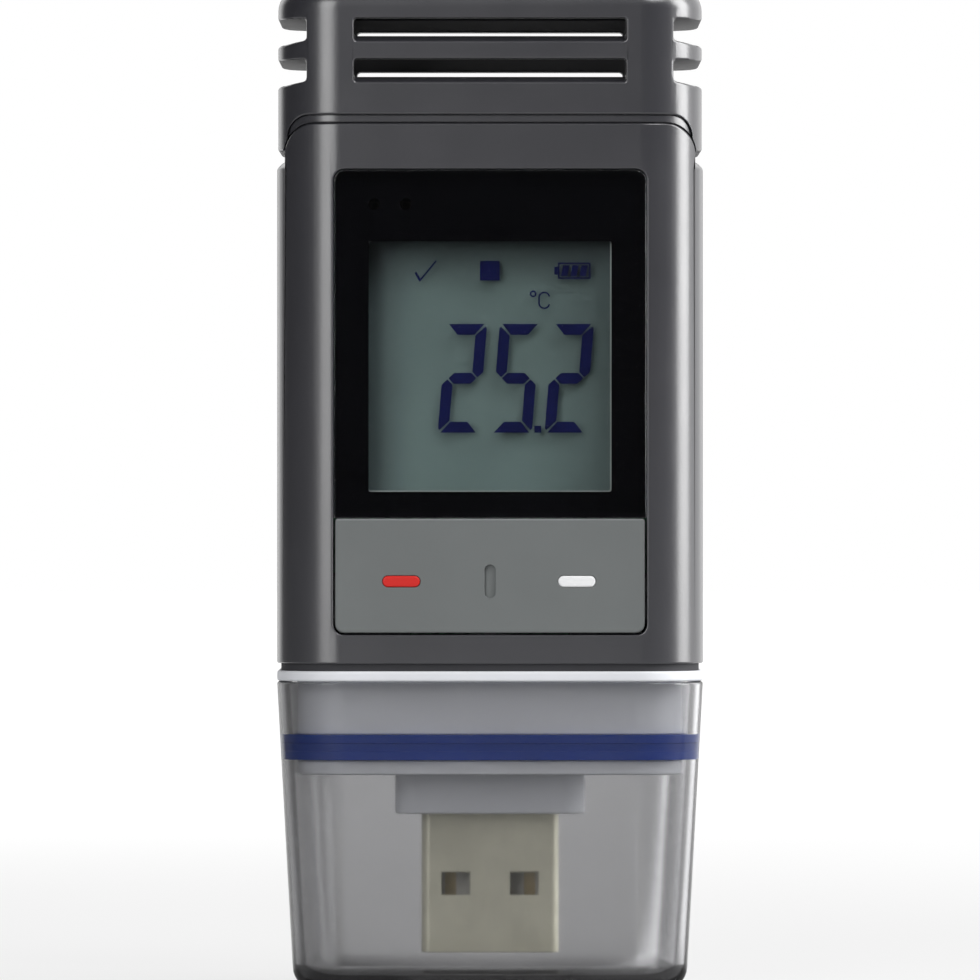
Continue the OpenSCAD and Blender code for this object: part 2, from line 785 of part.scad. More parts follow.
module lcd_reflector() {
    color("#8d9794")
        box([-glass_w / 2, glass_rear_y1, glass_z0], [glass_w / 2, reflector_y1, glass_rear_z1]);
}

// Moves a point of the display sideways with its height, as the digits lean
function leant(p) = [p[0] + lean_share * p[1], p[1]];

// Bars of one digit, as a list of outlines from the top clockwise, the middle last
function digit_bars() =
    let (w = digit_w, h = digit_h, t = digit_bar, g = digit_gap, c = digit_bar * 0.15, m = digit_h / 2)
    let (top = [[c + g, h], [w - c - g, h], [w - t - g, h - t], [t + g, h - t]])
    let (side = [[w, h - 2 * c - g], [w, m + t / 2 + g], [w - t / 2, m + g],
        [w - t, m + t / 2 + g], [w - t, h - t - g], [w - c, h - c - g]])
    let (mid = [[t / 2 + g, m], [t + g, m + t / 2], [w - t - g, m + t / 2],
        [w - t / 2 - g, m], [w - t - g, m - t / 2], [t + g, m - t / 2]])
    [
        top,
        side,
        [for (p = side) [p[0], h - p[1]]],
        [for (p = top) [p[0], h - p[1]]],
        [for (p = side) [w - p[0], h - p[1]]],
        [for (p = side) [w - p[0], p[1]]],
        mid
    ];

// One digit with the bars whose numbers are given
module digit(x, bars) {
    outlines = digit_bars();
    translate([x, digit_z])
        for (bar = bars)
            polygon([for (p = outlines[bar]) leant(p)]);
}

// Stroke with square ends between two points
module stroke(a, b, t) {
    run = norm(b - a);
    side = [a[1] - b[1], b[0] - a[0]] * (t / 2 / run);
    polygon([a - side, b - side, b + side, a + side]);
}

// Small signs over the reading: tick, square, battery and the unit
module lcd_signs() {
    sign_z = digit_z + digit_h * 1.49;
    sign_bar = digit_bar * 0.15;
    tick_low = [digit_x - digit_bar * 1.63, sign_z - digit_bar * 0.9];
    stroke(tick_low + [-digit_bar * 0.4, digit_bar * 0.75], tick_low + [sign_bar / 3, -sign_bar / 3],
        sign_bar * 1.4);
    stroke(tick_low, tick_low + [digit_bar * 1.5, digit_bar * 1.8], sign_bar);
    translate([digit_x + digit_step * 0.976, sign_z])
        square([digit_bar * 1.8, digit_bar * 1.8], center = true);
    translate([digit_x + digit_step * 2.25, sign_z - digit_bar * 0.75])
        lcd_battery(sign_bar);
    translate([digit_x + digit_step * 1.787, digit_z + digit_h * 1.277])
        lcd_unit(sign_bar);
}

// Sign of a battery with three full cells
module lcd_battery(line) {
    difference() {
        union() {
            square([digit_bar * 3, digit_bar * 1.5]);
            translate([-digit_bar * 0.32, digit_bar * 0.39])
                square([digit_bar * 0.4, digit_bar * 0.72]);
        }
        translate([line, line])
            square([digit_bar * 3 - 2 * line, digit_bar * 1.5 - 2 * line]);
    }
    for (full = [0, 1, 2])
        translate([digit_bar * (0.29 + full * 0.84), digit_bar * 0.26])
            polygon([for (p = [[0, 0], [0.58, 0], [0.78, 0.98], [0.2, 0.98]]) p * digit_bar]);
}

// Sign of the unit, a small ring before a round letter
module lcd_unit(line) {
    difference() {
        circle(r = digit_bar * 0.31);
        circle(r = digit_bar * 0.31 - line, $fn = 24);
    }
    translate([digit_bar * 1.02, -digit_bar * 0.6])
        difference() {
            rounded_rect(digit_bar * 1.1, digit_bar * 1.6, digit_bar * 0.54);
            rounded_rect(digit_bar * 1.1 - 2 * line, digit_bar * 1.6 - 2 * line, digit_bar * 0.54 - line);
            translate([0, -digit_bar * 0.35])
                square([digit_bar, digit_bar * 0.7]);
        }
}

// Dark parts of the display: a reading of three digits with one decimal place
module lcd_segments() {
    color("#1c1f45")
        facing(glass_y1, ink_y1) {
            digit(digit_x, [0, 1, 6, 4, 3]);
            digit(digit_x + digit_step, [0, 5, 6, 2, 3]);
            digit(digit_x + 2 * digit_step, [0, 1, 6, 4, 3]);
            translate([digit_x + 2 * digit_step - digit_bar * 0.93, digit_z])
                square([digit_bar * 0.63, digit_bar * 0.63]);
            lcd_signs();
        }
}

module lcd_holder() {
    out_x = glass_w / 2 + holder_wall - seat_gap;
    out_z0 = glass_z0 - 5 * seat_gap;
    out_z1 = glass_z1 + holder_top;
    color("#d8dad6")
        difference() {
            box([-out_x, inner_front_y, out_z0], [out_x, board_y0, out_z1]);
            box([-glass_w / 2, inner_front_y - cut, glass_z0], [glass_w / 2, reflector_y1, glass_z1]);
            box([holder_ledge - glass_w / 2, inner_front_y, glass_z0 + holder_ledge],
                [glass_w / 2 - holder_ledge, board_y0 + cut, glass_rear_z1 - holder_ledge]);
            box([-glass_w / 2, inner_front_y, glass_rear_z1 + 2 * seat_gap],
                [glass_w / 2, board_y0 + cut, glass_z1]);
        }
}

module zebra_strip() {
    color("#3c3c40")
        box([-glass_w / 2, glass_y1, glass_rear_z1 + 4 * seat_gap], [glass_w / 2, board_y0, glass_z1]);
}

module main_board() {
    color("#1f6b3f")
        difference() {
            union() {
                box([-board_w / 2, board_y0, board_z0], [board_w / 2, board_y1, board_z1]);
                box([-board_foot_w / 2, board_y0, spigot_floor_z],
                    [board_foot_w / 2, board_y1, board_z0 + bond]);
                box([-board_tab_w / 2, board_y0, board_z1 - bond],
                    [board_tab_w / 2, board_y1, board_tab_z1]);
            }
            at_screws()
                bar_y(boss_r + board_gap, 0, 0, board_y0 - cut, board_y1 + cut);
            for (side = [-1, 1], z = screw_zs)
                board_web_slot(side, z);
        }
}

// Slot in the board round the web of a boss
module board_web_slot(side, z) {
    half = web_t / 2 + board_gap;
    mid_x = (screw_x + half_w) / 2;
    half_x = (half_w - screw_x) / 2;
    box([side * mid_x - half_x, board_y0 - cut, z - half], [side * mid_x + half_x, board_y1 + cut, z + half]);
}

module status_leds() {
    color("#e9e7da")
        for (x = lamp_xs)
            translate([x, board_y0, lamp_z])
                box([-lamp_r, -lamp_r, -lamp_r / 2], [lamp_r, 0, lamp_r / 2]);
}

module light_pipes() {
    color("#dfe6ea")
        for (x = lamp_xs)
            bar_y(lamp_r, x, lamp_z, mask_y1, board_y0 - lamp_r);
}

module snap_domes() {
    color("#b9b9b4")
        for (side = [-1, 1])
            translate([side * foot_x, board_y0, mark_z])
                rotate([90, 0, 0])
                    cylinder(r1 = dome_r, r2 = dome_r / 2, h = dome_h);
}

module microcontroller() {
    color("#2a2a2c")
        translate([chip_x, board_y1, chip_z])
            box([-mcu_w / 2, 0, -mcu_w / 2], [mcu_w / 2, chip_t, mcu_w / 2]);
}

module memory_chip() {
    body_half = mcu_w * 0.3;
    pin = mcu_w / 16;
    color("#2a2a2c")
        box([-chip_x - body_half, board_y1 + pin / 2, chip_z - body_half * 1.3],
            [body_half - chip_x, board_y1 + chip_t, chip_z + body_half * 1.3]);
    color("#b9b9b4")
        for (step = [-1.5, -0.5, 0.5, 1.5])
            box([-chip_x - body_half - 2 * pin, board_y1, chip_z + step * 3 * pin - pin / 2],
                [body_half + 2 * pin - chip_x, board_y1 + pin, chip_z + step * 3 * pin + pin / 2]);
}

module crystal() {
    color("#c4c5c6")
        translate([-chip_x, board_y1 + crystal_r, chip_z + mcu_w])
            difference() {
                cylinder(r = crystal_r, h = crystal_l);
                box([-crystal_r, -2 * crystal_r, -cut], [crystal_r, -crystal_r * 0.9, crystal_l + cut]);
            }
}

module chip_capacitors() {
    color("#b09a72")
        for (side = [-1, 1], z = cap_zs)
            if (side > 0 || z < 0)
                translate([side * chip_x, board_y1, chip_z + z])
                    box([-lamp_r, 0, -lamp_r / 2], [lamp_r, lamp_r, lamp_r / 2]);
}

module battery_cell() {
    color("#3f8f4f")
        translate([0, cell_y, cell_z0])
            cylinder(r = cell_r, h = cell_l);
    color("#c4c5c6")
        translate([0, cell_y, cell_z1])
            cylinder(r = button_r, h = button_h);
}

module battery_holder() {
    color("#26272a")
        difference() {
            box([-cell_holder_x, board_y1, cell_floor_z - cell_floor],
                [cell_holder_x, rear_inner_y, cell_z1 - holder_drop]);
            translate([0, cell_y, cell_floor_z])
                cylinder(r = cell_r + cell_gap, h = cell_l + cut);
        }
}

// Bent contact strip: foot on the cell, leg beside it and plate at the other end
module contact_strip(z_cell, z_plate) {
    low = min(z_cell, z_plate);
    high = max(z_cell, z_plate);
    foot_z = z_cell > z_plate ? z_cell - strip_t : z_cell;
    plate_z = z_cell > z_plate ? z_plate : z_plate - strip_t;
    box([-strip_w / 2, cell_y - button_r / 2, foot_z], [strip_w / 2, cell_y + button_r, foot_z + strip_t]);
    box([-strip_w / 2, cell_y + button_r - strip_t, low], [strip_w / 2, cell_y + button_r, high]);
    box([-contact_plate / 2, cell_y - contact_plate / 2, plate_z],
        [contact_plate / 2, cell_y + contact_plate / 2, plate_z + strip_t]);
    box([-strip_w / 2, board_y1, plate_z], [strip_w / 2, cell_y, plate_z + strip_t]);
}

module battery_spring() {
    color("#c9c6bb")
        contact_strip(cell_z0, cell_floor_z);
}

module battery_top_contact() {
    color("#c9c6bb")
        contact_strip(cell_z1 + button_h, lid_z0);
}

module sensor_chip() {
    color("#101012")
        translate([0, board_y0, neck_z1 + seat_gap])
            box([-sensor_w / 2, -sensor_t, 0], [sensor_w / 2, 0, sensor_h]);
}

module sensor_guard() {
    slot_step = (guard_w - 2 * guard_wall) / 5;
    color("#e4e5e2")
        translate([0, tab_y, 0])
            difference() {
                box([-guard_w / 2, -guard_d / 2, neck_z1], [guard_w / 2, guard_d / 2, guard_z1]);
                box([guard_wall - guard_w / 2, guard_wall - guard_d / 2, neck_z1 - cut],
                    [guard_w / 2 - guard_wall, guard_d / 2 - guard_wall, guard_z1 - guard_wall]);
                for (step = [-2, -1, 0, 1, 2])
                    box([step * slot_step - guard_wall / 2, -guard_d, neck_z1 + guard_wall],
                        [step * slot_step + guard_wall / 2, guard_d, guard_z1 - guard_wall]);
            }
}

// Outline of the plug's shell, set in by a distance, between two heights
module usb_slab(inset, z0, z1) {
    translate([0, usb_y, 0])
        slab(usb_w - 2 * inset, usb_t - 2 * inset, usb_r - inset / 2, z0, z1);
}

module connector_base() {
    color("#dfe2e4")
        difference() {
            union() {
                plan_slab(0, flange_z0, flange_z1);
                plan_slab(wall, flange_z1 - bond, plug_z1);
                slab(spigot_w, spigot_d, spigot_r, spigot_z0, flange_z0 + bond);
                translate([0, usb_y, 0])
                    slab(collar_w, collar_d, collar_r, collar_z0, spigot_z0 + bond);
            }
            slab(spigot_w - 2 * spigot_wall, spigot_d - 2 * spigot_wall, spigot_r - spigot_wall,
                spigot_floor_z, flange_z1);
            plan_slab(wall + base_plug_wall, flange_z1 - bond, plug_z1 + cut);
            box([-2 * barrel_r, front_y, body_z0],
                [2 * barrel_r, axle_y + barrel_r + 2 * key_gap, plug_z1 + cut]);
            seal_space();
            usb_slab(0, collar_z0 - cut, spigot_floor_z + cut);
        }
}

// Space of the seal's groove round the spigot
module seal_space() {
    difference() {
        slab(spigot_w + 2 * cut, spigot_d + 2 * cut, spigot_r + cut, seal_z0, seal_z1);
        slab(spigot_w - 2 * seal_groove, spigot_d - 2 * seal_groove, spigot_r - seal_groove,
            seal_z0 - cut, seal_z1 + cut);
    }
}

module base_gasket() {
    color("#4b4d50")
        plan_ring(gasket_in, wall, flange_z1, body_z0);
}

module cap_seal() {
    rib_w = spigot_w + 2 * seal_rib;
    rib_d = spigot_d + 2 * seal_rib;
    color("#15377d")
        difference() {
            union() {
                slab(spigot_w - seal_rib, spigot_d - seal_rib, spigot_r, seal_z0, seal_z1);
                slab(rib_w, rib_d, spigot_r + seal_rib, seal_z0, seal_z0 + seal_rib_h);
                slab(rib_w, rib_d, spigot_r + seal_rib, seal_z1 - seal_rib_h, seal_z1);
            }
            slab(spigot_w - 2 * seal_groove, spigot_d - 2 * seal_groove, spigot_r - seal_groove,
                seal_z0 - cut, seal_z1 + cut);
        }
}

module usb_shell() {
    color("#a9a798")
        difference() {
            usb_slab(0, usb_z0, usb_z1);
            usb_slab(usb_sheet, usb_z0 - cut, usb_z1 + cut);
            for (side = [-1, 1])
                box([side * usb_hole_x - usb_hole_w / 2, usb_y - usb_t, usb_hole_z - usb_hole_h / 2],
                    [side * usb_hole_x + usb_hole_w / 2, usb_y + usb_t, usb_hole_z + usb_hole_h / 2]);
        }
}

// Plastic tongue along the rear side of the plug, with a block that fills its inner end
module usb_tongue() {
    inner_half = usb_t / 2 - usb_sheet;
    color("#e9eae8")
        difference() {
            usb_slab(usb_sheet, usb_z0 + usb_sheet, usb_z1 - usb_sheet);
            box([-usb_w, usb_y - usb_t, usb_z0 - cut], [usb_w, usb_y + inner_half - usb_tongue_t, spigot_z0]);
            for (side = [-1, 1], x = usb_contact_x)
                usb_contact_space(side * x);
        }
}

// Place of one contact strip, sunk into the tongue's face and carried through the block
module usb_contact_space(x) {
    face_y = usb_y + usb_t / 2 - usb_sheet - usb_tongue_t;
    box([x - usb_contact_w / 2, face_y, usb_z0 + 3 * usb_sheet],
        [x + usb_contact_w / 2, face_y + usb_contact_t, usb_z1 - usb_sheet]);
}

// Four contacts, with tails that run from the block to the board
module usb_contacts() {
    face_y = usb_y + usb_t / 2 - usb_sheet - usb_tongue_t;
    tail_z0 = usb_z1 - usb_sheet;
    color("#d9b65a")
        for (side = [-1, 1], x = usb_contact_x) {
            usb_contact_space(side * x);
            box([side * x - usb_contact_w / 2, face_y, tail_z0 - usb_contact_t],
                [side * x + usb_contact_w / 2, face_y + usb_contact_t, tail_z0 + 3 * usb_sheet]);
            box([side * x - usb_contact_w / 2, board_y1, tail_z0 + 2 * usb_sheet],
                [side * x + usb_contact_w / 2, face_y + usb_contact_t, tail_z0 + 3 * usb_sheet]);
        }
}

// Outside of the sensor cap: upright sides and a round upper edge
module vent_outside() {
    hull() {
        plan_slab(vent_in, skirt_z, skirt_z + rim_h, $fn = hull_fn);
        for (x = [-1, 1], y = [-1, 1])
            translate([x * (half_w - body_r), y * (half_d - body_r), overall_h - vent_edge])
                rotate_extrude($fn = hull_fn)
                    translate([vent_corner_r - vent_edge, 0])
                        circle(r = vent_edge, $fn = hull_fn);
    }
}

// Slot through the front and the back of the sensor cap, under a level ceiling
module vent_slot(ceiling) {
    floor_z = ceiling - slot_h;
    for (turn = [0, 180])
        rotate([0, 0, turn])
            translate([-slot_x, 0, 0])
                rotate([90, 0, 90])
                    linear_extrude(height = 2 * slot_x)
                        polygon([
                            [front_y - cut, floor_z],
                            [front_y, floor_z],
                            [inner_front_y, floor_z + slot_rise],
                            [inner_front_y + cut, floor_z + slot_rise],
                            [inner_front_y + cut, ceiling],
                            [front_y - cut, ceiling]
                        ]);
}

// Notches in both sides of the sensor cap, open into the chamber in their middle
module vent_notches(ceiling) {
    for (side = [-1, 1]) {
        facing(-body_d, body_d)
            polygon([
                [side * notch_x, ceiling],
                [side * (half_w + cut), ceiling],
                [side * (half_w + cut), ceiling - notch_h - notch_fall],
                [side * notch_x, ceiling - notch_h]
            ]);
        mid_x = (notch_x + chamber_x) / 2;
        half_x = (notch_x - chamber_x) / 2 + bond;
        box([side * mid_x - half_x, -side_vent_y, ceiling - notch_h],
            [side * mid_x + half_x, side_vent_y, ceiling]);
    }
}

module vent_cap() {
    color("#43464b")
        difference() {
            vent_outside();
            plan_slab(neck_in - neck_gap, skirt_z - cut, neck_z1 + neck_gap);
            slab(2 * chamber_x, body_d - 2 * wall, body_r / 2, neck_z1, chamber_z1);
            facing(-body_d, body_d) {
                below_edge(2 * neck_gap);
                arch(vent_arch_x, vent_arch_r, vent_z0, 0);
            }
            for (ceiling = slot_ceilings) {
                vent_slot(ceiling);
                vent_notches(ceiling);
            }
        }
}

// Tapered pot between its foot and its rim, set in by a distance from the cap's outside
module cap_pot(inset, z0, edge_r) {
    foot_w = body_w - 2 * cap_foot_in - 2 * inset;
    foot_d = body_d - 2 * cap_foot_in - 2 * inset;
    foot_r = cap_foot_r - inset;
    hull() {
        plan_slab(inset, cap_h - rim_h, cap_h, $fn = hull_fn);
        for (x = [-1, 1], y = [-1, 1])
            translate([x * (foot_w / 2 - foot_r), y * (foot_d / 2 - foot_r), z0 + edge_r])
                rotate_extrude($fn = hull_fn)
                    translate([foot_r - edge_r, 0])
                        circle(r = edge_r, $fn = hull_fn);
    }
}

module protective_cap() {
    color("#9aa0a3", 0.6)
        difference() {
            cap_pot(0, 0, cap_edge);
            cap_pot(cap_wall, cap_floor, cap_inner_edge);
            plan_slab(cap_wall, cap_h - rim_h, cap_h + cut);
        }
}

// Outline of an inlay in the key, with round ends
module mark_outline(x) {
    translate([x, mark_z])
        rounded_rect(mark_w, mark_h, mark_h * 0.499);
}

module rocker_key() {
    color("#6e7273") {
        difference() {
            plate(key_w, key_h, key_r, key_zc, key_y0, key_y1);
            for (x = mark_xs)
                facing(key_y0 - cut, key_y0 + mark_t)
                    mark_outline(x);
            plate(groove_w, groove_h, groove_w / 4, mark_z, key_y0 - cut, key_y0 + mark_t);
        }
        box([-axle_r, key_y1 - bond, key_z0 + key_gap], [axle_r, axle_y, key_z1 - key_gap]);
        translate([0, axle_y, key_z0 + key_gap])
            cylinder(r = barrel_r, h = key_h);
        translate([0, axle_y, key_z0 + key_gap - axle_l])
            cylinder(r = axle_r, h = key_h + 2 * axle_l);
        for (side = [-1, 1])
            bar_y(foot_r, side * foot_x, mark_z, key_y1 - bond, dome_y0 - foot_gap);
    }
}

module red_mark() {
    color("#d7261d")
        facing(key_y0, key_y0 + mark_t)
            mark_outline(mark_xs[0]);
}

module white_mark() {
    color("#f3f4f5")
        facing(key_y0, key_y0 + mark_t)
            mark_outline(mark_xs[1]);
}

front_shell();
rear_shell();
shell_screws();
top_lid();
lid_seal();
rear_label();
display_window();
window_mask();
lcd_front_glass();
lcd_segments();
lcd_rear_glass();
lcd_reflector();
lcd_holder();
zebra_strip();
main_board();
status_leds();
light_pipes();
snap_domes();
microcontroller();
memory_chip();
crystal();
chip_capacitors();
battery_cell();
battery_holder();
battery_spring();
battery_top_contact();
sensor_chip();
sensor_guard();
connector_base();
base_gasket();
cap_seal();
usb_shell();
usb_tongue();
usb_contacts();
vent_cap();
protective_cap();
rocker_key();
red_mark();
white_mark();
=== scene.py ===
# %% [markdown]
# # A pocket temperature logger for its picture
# The logger stands on its clear plug cap and shows a reading on a small display.
# Its solids come from a CAD model, which this script loads and never moves.
# Every visible skin gets softer edges and a real surface here, and the camera and
# the lamps stand where the photographer's stood.

# %% Load the frame
import json
import math

import bmesh
import bpy
from mathutils import Matrix, Vector


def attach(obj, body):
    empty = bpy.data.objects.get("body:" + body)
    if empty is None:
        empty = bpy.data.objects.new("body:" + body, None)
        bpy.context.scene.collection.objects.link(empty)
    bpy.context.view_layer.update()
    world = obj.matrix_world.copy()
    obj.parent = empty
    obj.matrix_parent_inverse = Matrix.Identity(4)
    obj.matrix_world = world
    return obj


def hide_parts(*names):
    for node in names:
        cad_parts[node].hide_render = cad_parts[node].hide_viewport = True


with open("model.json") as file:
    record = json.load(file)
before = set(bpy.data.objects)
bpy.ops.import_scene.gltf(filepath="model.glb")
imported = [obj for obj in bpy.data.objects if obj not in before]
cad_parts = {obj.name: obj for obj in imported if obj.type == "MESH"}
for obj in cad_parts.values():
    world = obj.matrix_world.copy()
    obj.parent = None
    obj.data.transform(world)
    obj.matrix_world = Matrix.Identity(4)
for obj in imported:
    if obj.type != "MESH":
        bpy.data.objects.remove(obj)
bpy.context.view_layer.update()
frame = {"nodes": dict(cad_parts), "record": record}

MM = 0.001
print("solids in the frame:", len(frame["nodes"]))

# %% [markdown]
# ## Colours
# Colours are easiest to read off a photograph as numbers from 0 to 255, but the
# renderer works with linear light. This helper turns one into the other, so every
# colour below can be written the way it was measured.

# %% Colour helper
def tone(red, green, blue):
    """Linear colour of a value measured on the 0 to 255 scale"""
    steps = [v / 255 for v in (red, green, blue)]
    linear = [s / 12.92 if s <= 0.04045 else ((s + 0.055) / 1.055) ** 2.4 for s in steps]
    return (*linear, 1.0)


CASING_GREY = tone(54, 54, 59)
print("casing grey in linear light:", [round(v, 3) for v in CASING_GREY[:3]])

# %% [markdown]
# ## Helpers for shader nodes
# A material is a graph, and most of its lines would only say which node feeds which.
# Each helper here makes one node, feeds it and returns the socket with its result,
# so a chain of nodes reads like a formula. The same graph could be wired by hand in
# the shader editor.

# %% Node helpers
def node(tree, kind, **settings):
    """New node; settings name its properties, or its inputs where no property has the name"""
    made = tree.nodes.new(kind)
    for key, value in settings.items():
        if hasattr(made, key):
            setattr(made, key, value)
        else:
            made.inputs[key.replace("_", " ")].default_value = value
    return made


def feed(tree, value, socket):
    """Links another node's output to a socket, or sets a plain value on it"""
    if isinstance(value, bpy.types.NodeSocket):
        tree.links.new(value, socket)
    else:
        socket.default_value = value


def noise(tree, vector, scale, detail=2.0):
    """Noise texture read at the given place; the scale counts patches to a metre"""
    made = node(tree, "ShaderNodeTexNoise", Detail=detail)
    feed(tree, vector, made.inputs["Vector"])
    feed(tree, scale, made.inputs["Scale"])
    return made.outputs["Fac"]


def map_range(tree, value, start, end, low, high, curve):
    """Maps a value between start and end onto low to high, along a soft curve"""
    made = node(tree, "ShaderNodeMapRange", interpolation_type=curve)
    feed(tree, value, made.inputs["Value"])
    for label, number in (("From Min", start), ("From Max", end), ("To Min", low), ("To Max", high)):
        feed(tree, number, made.inputs[label])
    return made.outputs["Result"]


def spread(tree, value, low, high):
    """Maps the middle of a noise, where most of its values lie, onto low to high"""
    return map_range(tree, value, 0.3, 0.7, low, high, "SMOOTHSTEP")


def ramp(tree, value, start, end, low, high):
    """Smooth step of a value between two limits"""
    return map_range(tree, value, start, end, low, high, "SMOOTHERSTEP")


def sums(tree, operation, first, second):
    """Math node on two values, each a number or a socket"""
    made = node(tree, "ShaderNodeMath", operation=operation)
    feed(tree, first, made.inputs[0])
    feed(tree, second, made.inputs[1])
    return made.outputs["Value"]


def scaled(tree, colour, factor):
    """Colour times a value"""
    made = node(tree, "ShaderNodeVectorMath", operation="SCALE")
    feed(tree, colour, made.inputs[0])
    feed(tree, factor, made.inputs["Scale"])
    return made.outputs["Vector"]


def colour_mix(tree, factor, first, second):
    """Mix of two colours, each given as four numbers or as a socket"""
    made = node(tree, "ShaderNodeMix", data_type="RGBA")
    feed(tree, factor, made.inputs["Factor"])
    for label, colour in (("A", first), ("B", second)):
        feed(tree, colour, next(i for i in made.inputs if i.name == label and i.type == "RGBA"))
    return next(o for o in made.outputs if o.type == "RGBA")


SOCKETS = {type(None): "NodeSocketVector", tuple: "NodeSocketColor", float: "NodeSocketFloat"}


def new_group(name, inputs, outputs):
    """Empty shader node group, the values it is given and the sockets for its results"""
    group = bpy.data.node_groups.new(name, "ShaderNodeTree")
    for label, default in inputs.items():
        socket = group.interface.new_socket(name=label, in_out="INPUT", socket_type=SOCKETS[type(default)])
        if default is not None:
            socket.default_value = default
    for label in outputs:
        kind = SOCKETS[tuple if label == "Colour" else float]
        group.interface.new_socket(name=label, in_out="OUTPUT", socket_type=kind)
    return group, group.nodes.new("NodeGroupInput").outputs, group.nodes.new("NodeGroupOutput").inputs


print("node helpers ready")

# %% [markdown]
# ## Shared surface effects
# Most of the logger is moulded plastic. A moulded skin is never even: its colour
# drifts a little, fingers leave it duller in places, and the steel mould was
# spark-eroded to a very fine grain. All plastics share that, each in its own amount,
# so it is built once as a node group with named inputs and used in every material.
# Noise textures make the three layers at three sizes. A photographed texture could do
# it too, but would need unwrapping and would blur close up.

# %% Node group of a moulded skin
DRIFT_PATCHES, SMUDGE_PATCHES = 110.0, 230.0

moulded, given, result = new_group(
    "moulded skin",
    {"Place": None, "Colour": (0.5, 0.5, 0.5, 1), "Drift": 0.05, "Roughness": 0.45, "Smudge": 0.06,
     "Grain": 5000.0},
    ["Colour", "Roughness", "Height"])
darkest = sums(moulded, "SUBTRACT", 1.0, given["Drift"])
lightest = sums(moulded, "ADD", 1.0, given["Drift"])
shade = spread(moulded, noise(moulded, given["Place"], DRIFT_PATCHES, 4.0), darkest, lightest)
feed(moulded, scaled(moulded, given["Colour"], shade), result["Colour"])
smudge = sums(moulded, "MULTIPLY", given["Smudge"], 2.0)
patch = sums(moulded, "SUBTRACT", noise(moulded, given["Place"], SMUDGE_PATCHES, 5.0), 0.5)
duller = sums(moulded, "MULTIPLY", patch, smudge)
feed(moulded, sums(moulded, "ADD", given["Roughness"], duller), result["Roughness"])
feed(moulded, noise(moulded, given["Place"], given["Grain"]), result["Height"])
print("group", moulded.name, "with", len(moulded.nodes), "nodes")

# %% [markdown]
# ## Drawn metal
# The plug's shell, the springs and the screw heads are rolled or drawn steel. Rolling
# leaves long fine streaks, so the same noise is stretched along one direction by a
# Mapping node before it is read. The streaks change the roughness most and the
# colour a little.

# %% Node group of drawn metal
STREAK_PATCHES, STAIN_PATCHES, STREAK_STRETCH = 6000.0, 350.0, 0.06

drawn, given, result = new_group(
    "drawn metal",
    {"Place": None, "Colour": (0.6, 0.6, 0.6, 1), "Roughness": 0.3, "Streak": 0.1},
    ["Colour", "Roughness", "Height"])
stretch = node(drawn, "ShaderNodeMapping", Scale=(1.0, 1.0, STREAK_STRETCH))
feed(drawn, given["Place"], stretch.inputs["Vector"])
streaks = noise(drawn, stretch.outputs["Vector"], STREAK_PATCHES, 3.0)
stains = noise(drawn, given["Place"], STAIN_PATCHES, 5.0)
darkest = sums(drawn, "SUBTRACT", 1.0, given["Streak"])
shade = sums(drawn, "MULTIPLY", spread(drawn, streaks, darkest, 1.0), spread(drawn, stains, 0.93, 1.04))
feed(drawn, scaled(drawn, given["Colour"], shade), result["Colour"])
duller = sums(drawn, "MULTIPLY", spread(drawn, streaks, -0.5, 0.5), given["Streak"])
feed(drawn, sums(drawn, "ADD", given["Roughness"], duller), result["Roughness"])
feed(drawn, streaks, result["Height"])
print("group", drawn.name, "with", len(drawn.nodes), "nodes")

# %% [markdown]
# ## Materials of the opaque pieces
# A material here is one Principled shader fed by one of the groups. The group gives
# colour, roughness and height that change over the surface. What is the same all
# over, such as how metallic it is, is set on the shader itself. The print and the
# ink lie behind glass, so they mirror nothing of their own.

# %% Helpers that make a material
FINISH = {}


def start_material(slot):
    """New node material with the place on the piece, its shader and its output"""
    made = bpy.data.materials.new(slot)
    made.use_nodes = True
    tree = made.node_tree
    shader = tree.nodes["Principled BSDF"]
    spot = node(tree, "ShaderNodeTexCoord")
    FINISH[slot] = made
    return tree, shader, spot.outputs["Object"]


def roughen(tree, shader, surface, height):
    """Bump from a surface group's grain, with its height in millimetres"""
    relief = node(tree, "ShaderNodeBump", Strength=1.0, Distance=height * MM)
    tree.links.new(surface.outputs["Height"], relief.inputs["Height"])
    tree.links.new(relief.outputs["Normal"], shader.inputs["Normal"])


def skin(slot, group, colour, roughness, bump, group_values, **shader_values):
    """Material from a surface group; bump is the height of its grain in millimetres"""
    tree, shader, spot = start_material(slot)
    surface = node(tree, "ShaderNodeGroup", node_tree=group)
    surface.inputs["Colour"].default_value = colour
    surface.inputs["Roughness"].default_value = roughness
    for key, value in group_values.items():
        surface.inputs[key].default_value = value
    tree.links.new(spot, surface.inputs["Place"])
    tree.links.new(surface.outputs["Colour"], shader.inputs["Base Color"])
    tree.links.new(surface.outputs["Roughness"], shader.inputs["Roughness"])
    roughen(tree, shader, surface, bump)
    for key, value in shader_values.items():
        shader.inputs[key.replace("_", " ")].default_value = value
    return tree, surface, spot


def plastic(slot, colour, roughness, bump, drift, smudge, grain, **shader_values):
    """Moulded material; grain counts the grains to a metre"""
    marks = {"Drift": drift, "Smudge": smudge, "Grain": grain}
    return skin(slot, moulded, colour, roughness, bump, marks, **shader_values)


def metal(slot, colour, roughness, bump, streak, metallic=1.0):
    """Drawn or rolled material with upright streaks"""
    return skin(slot, drawn, colour, roughness, bump, {"Streak": streak}, Metallic=metallic)


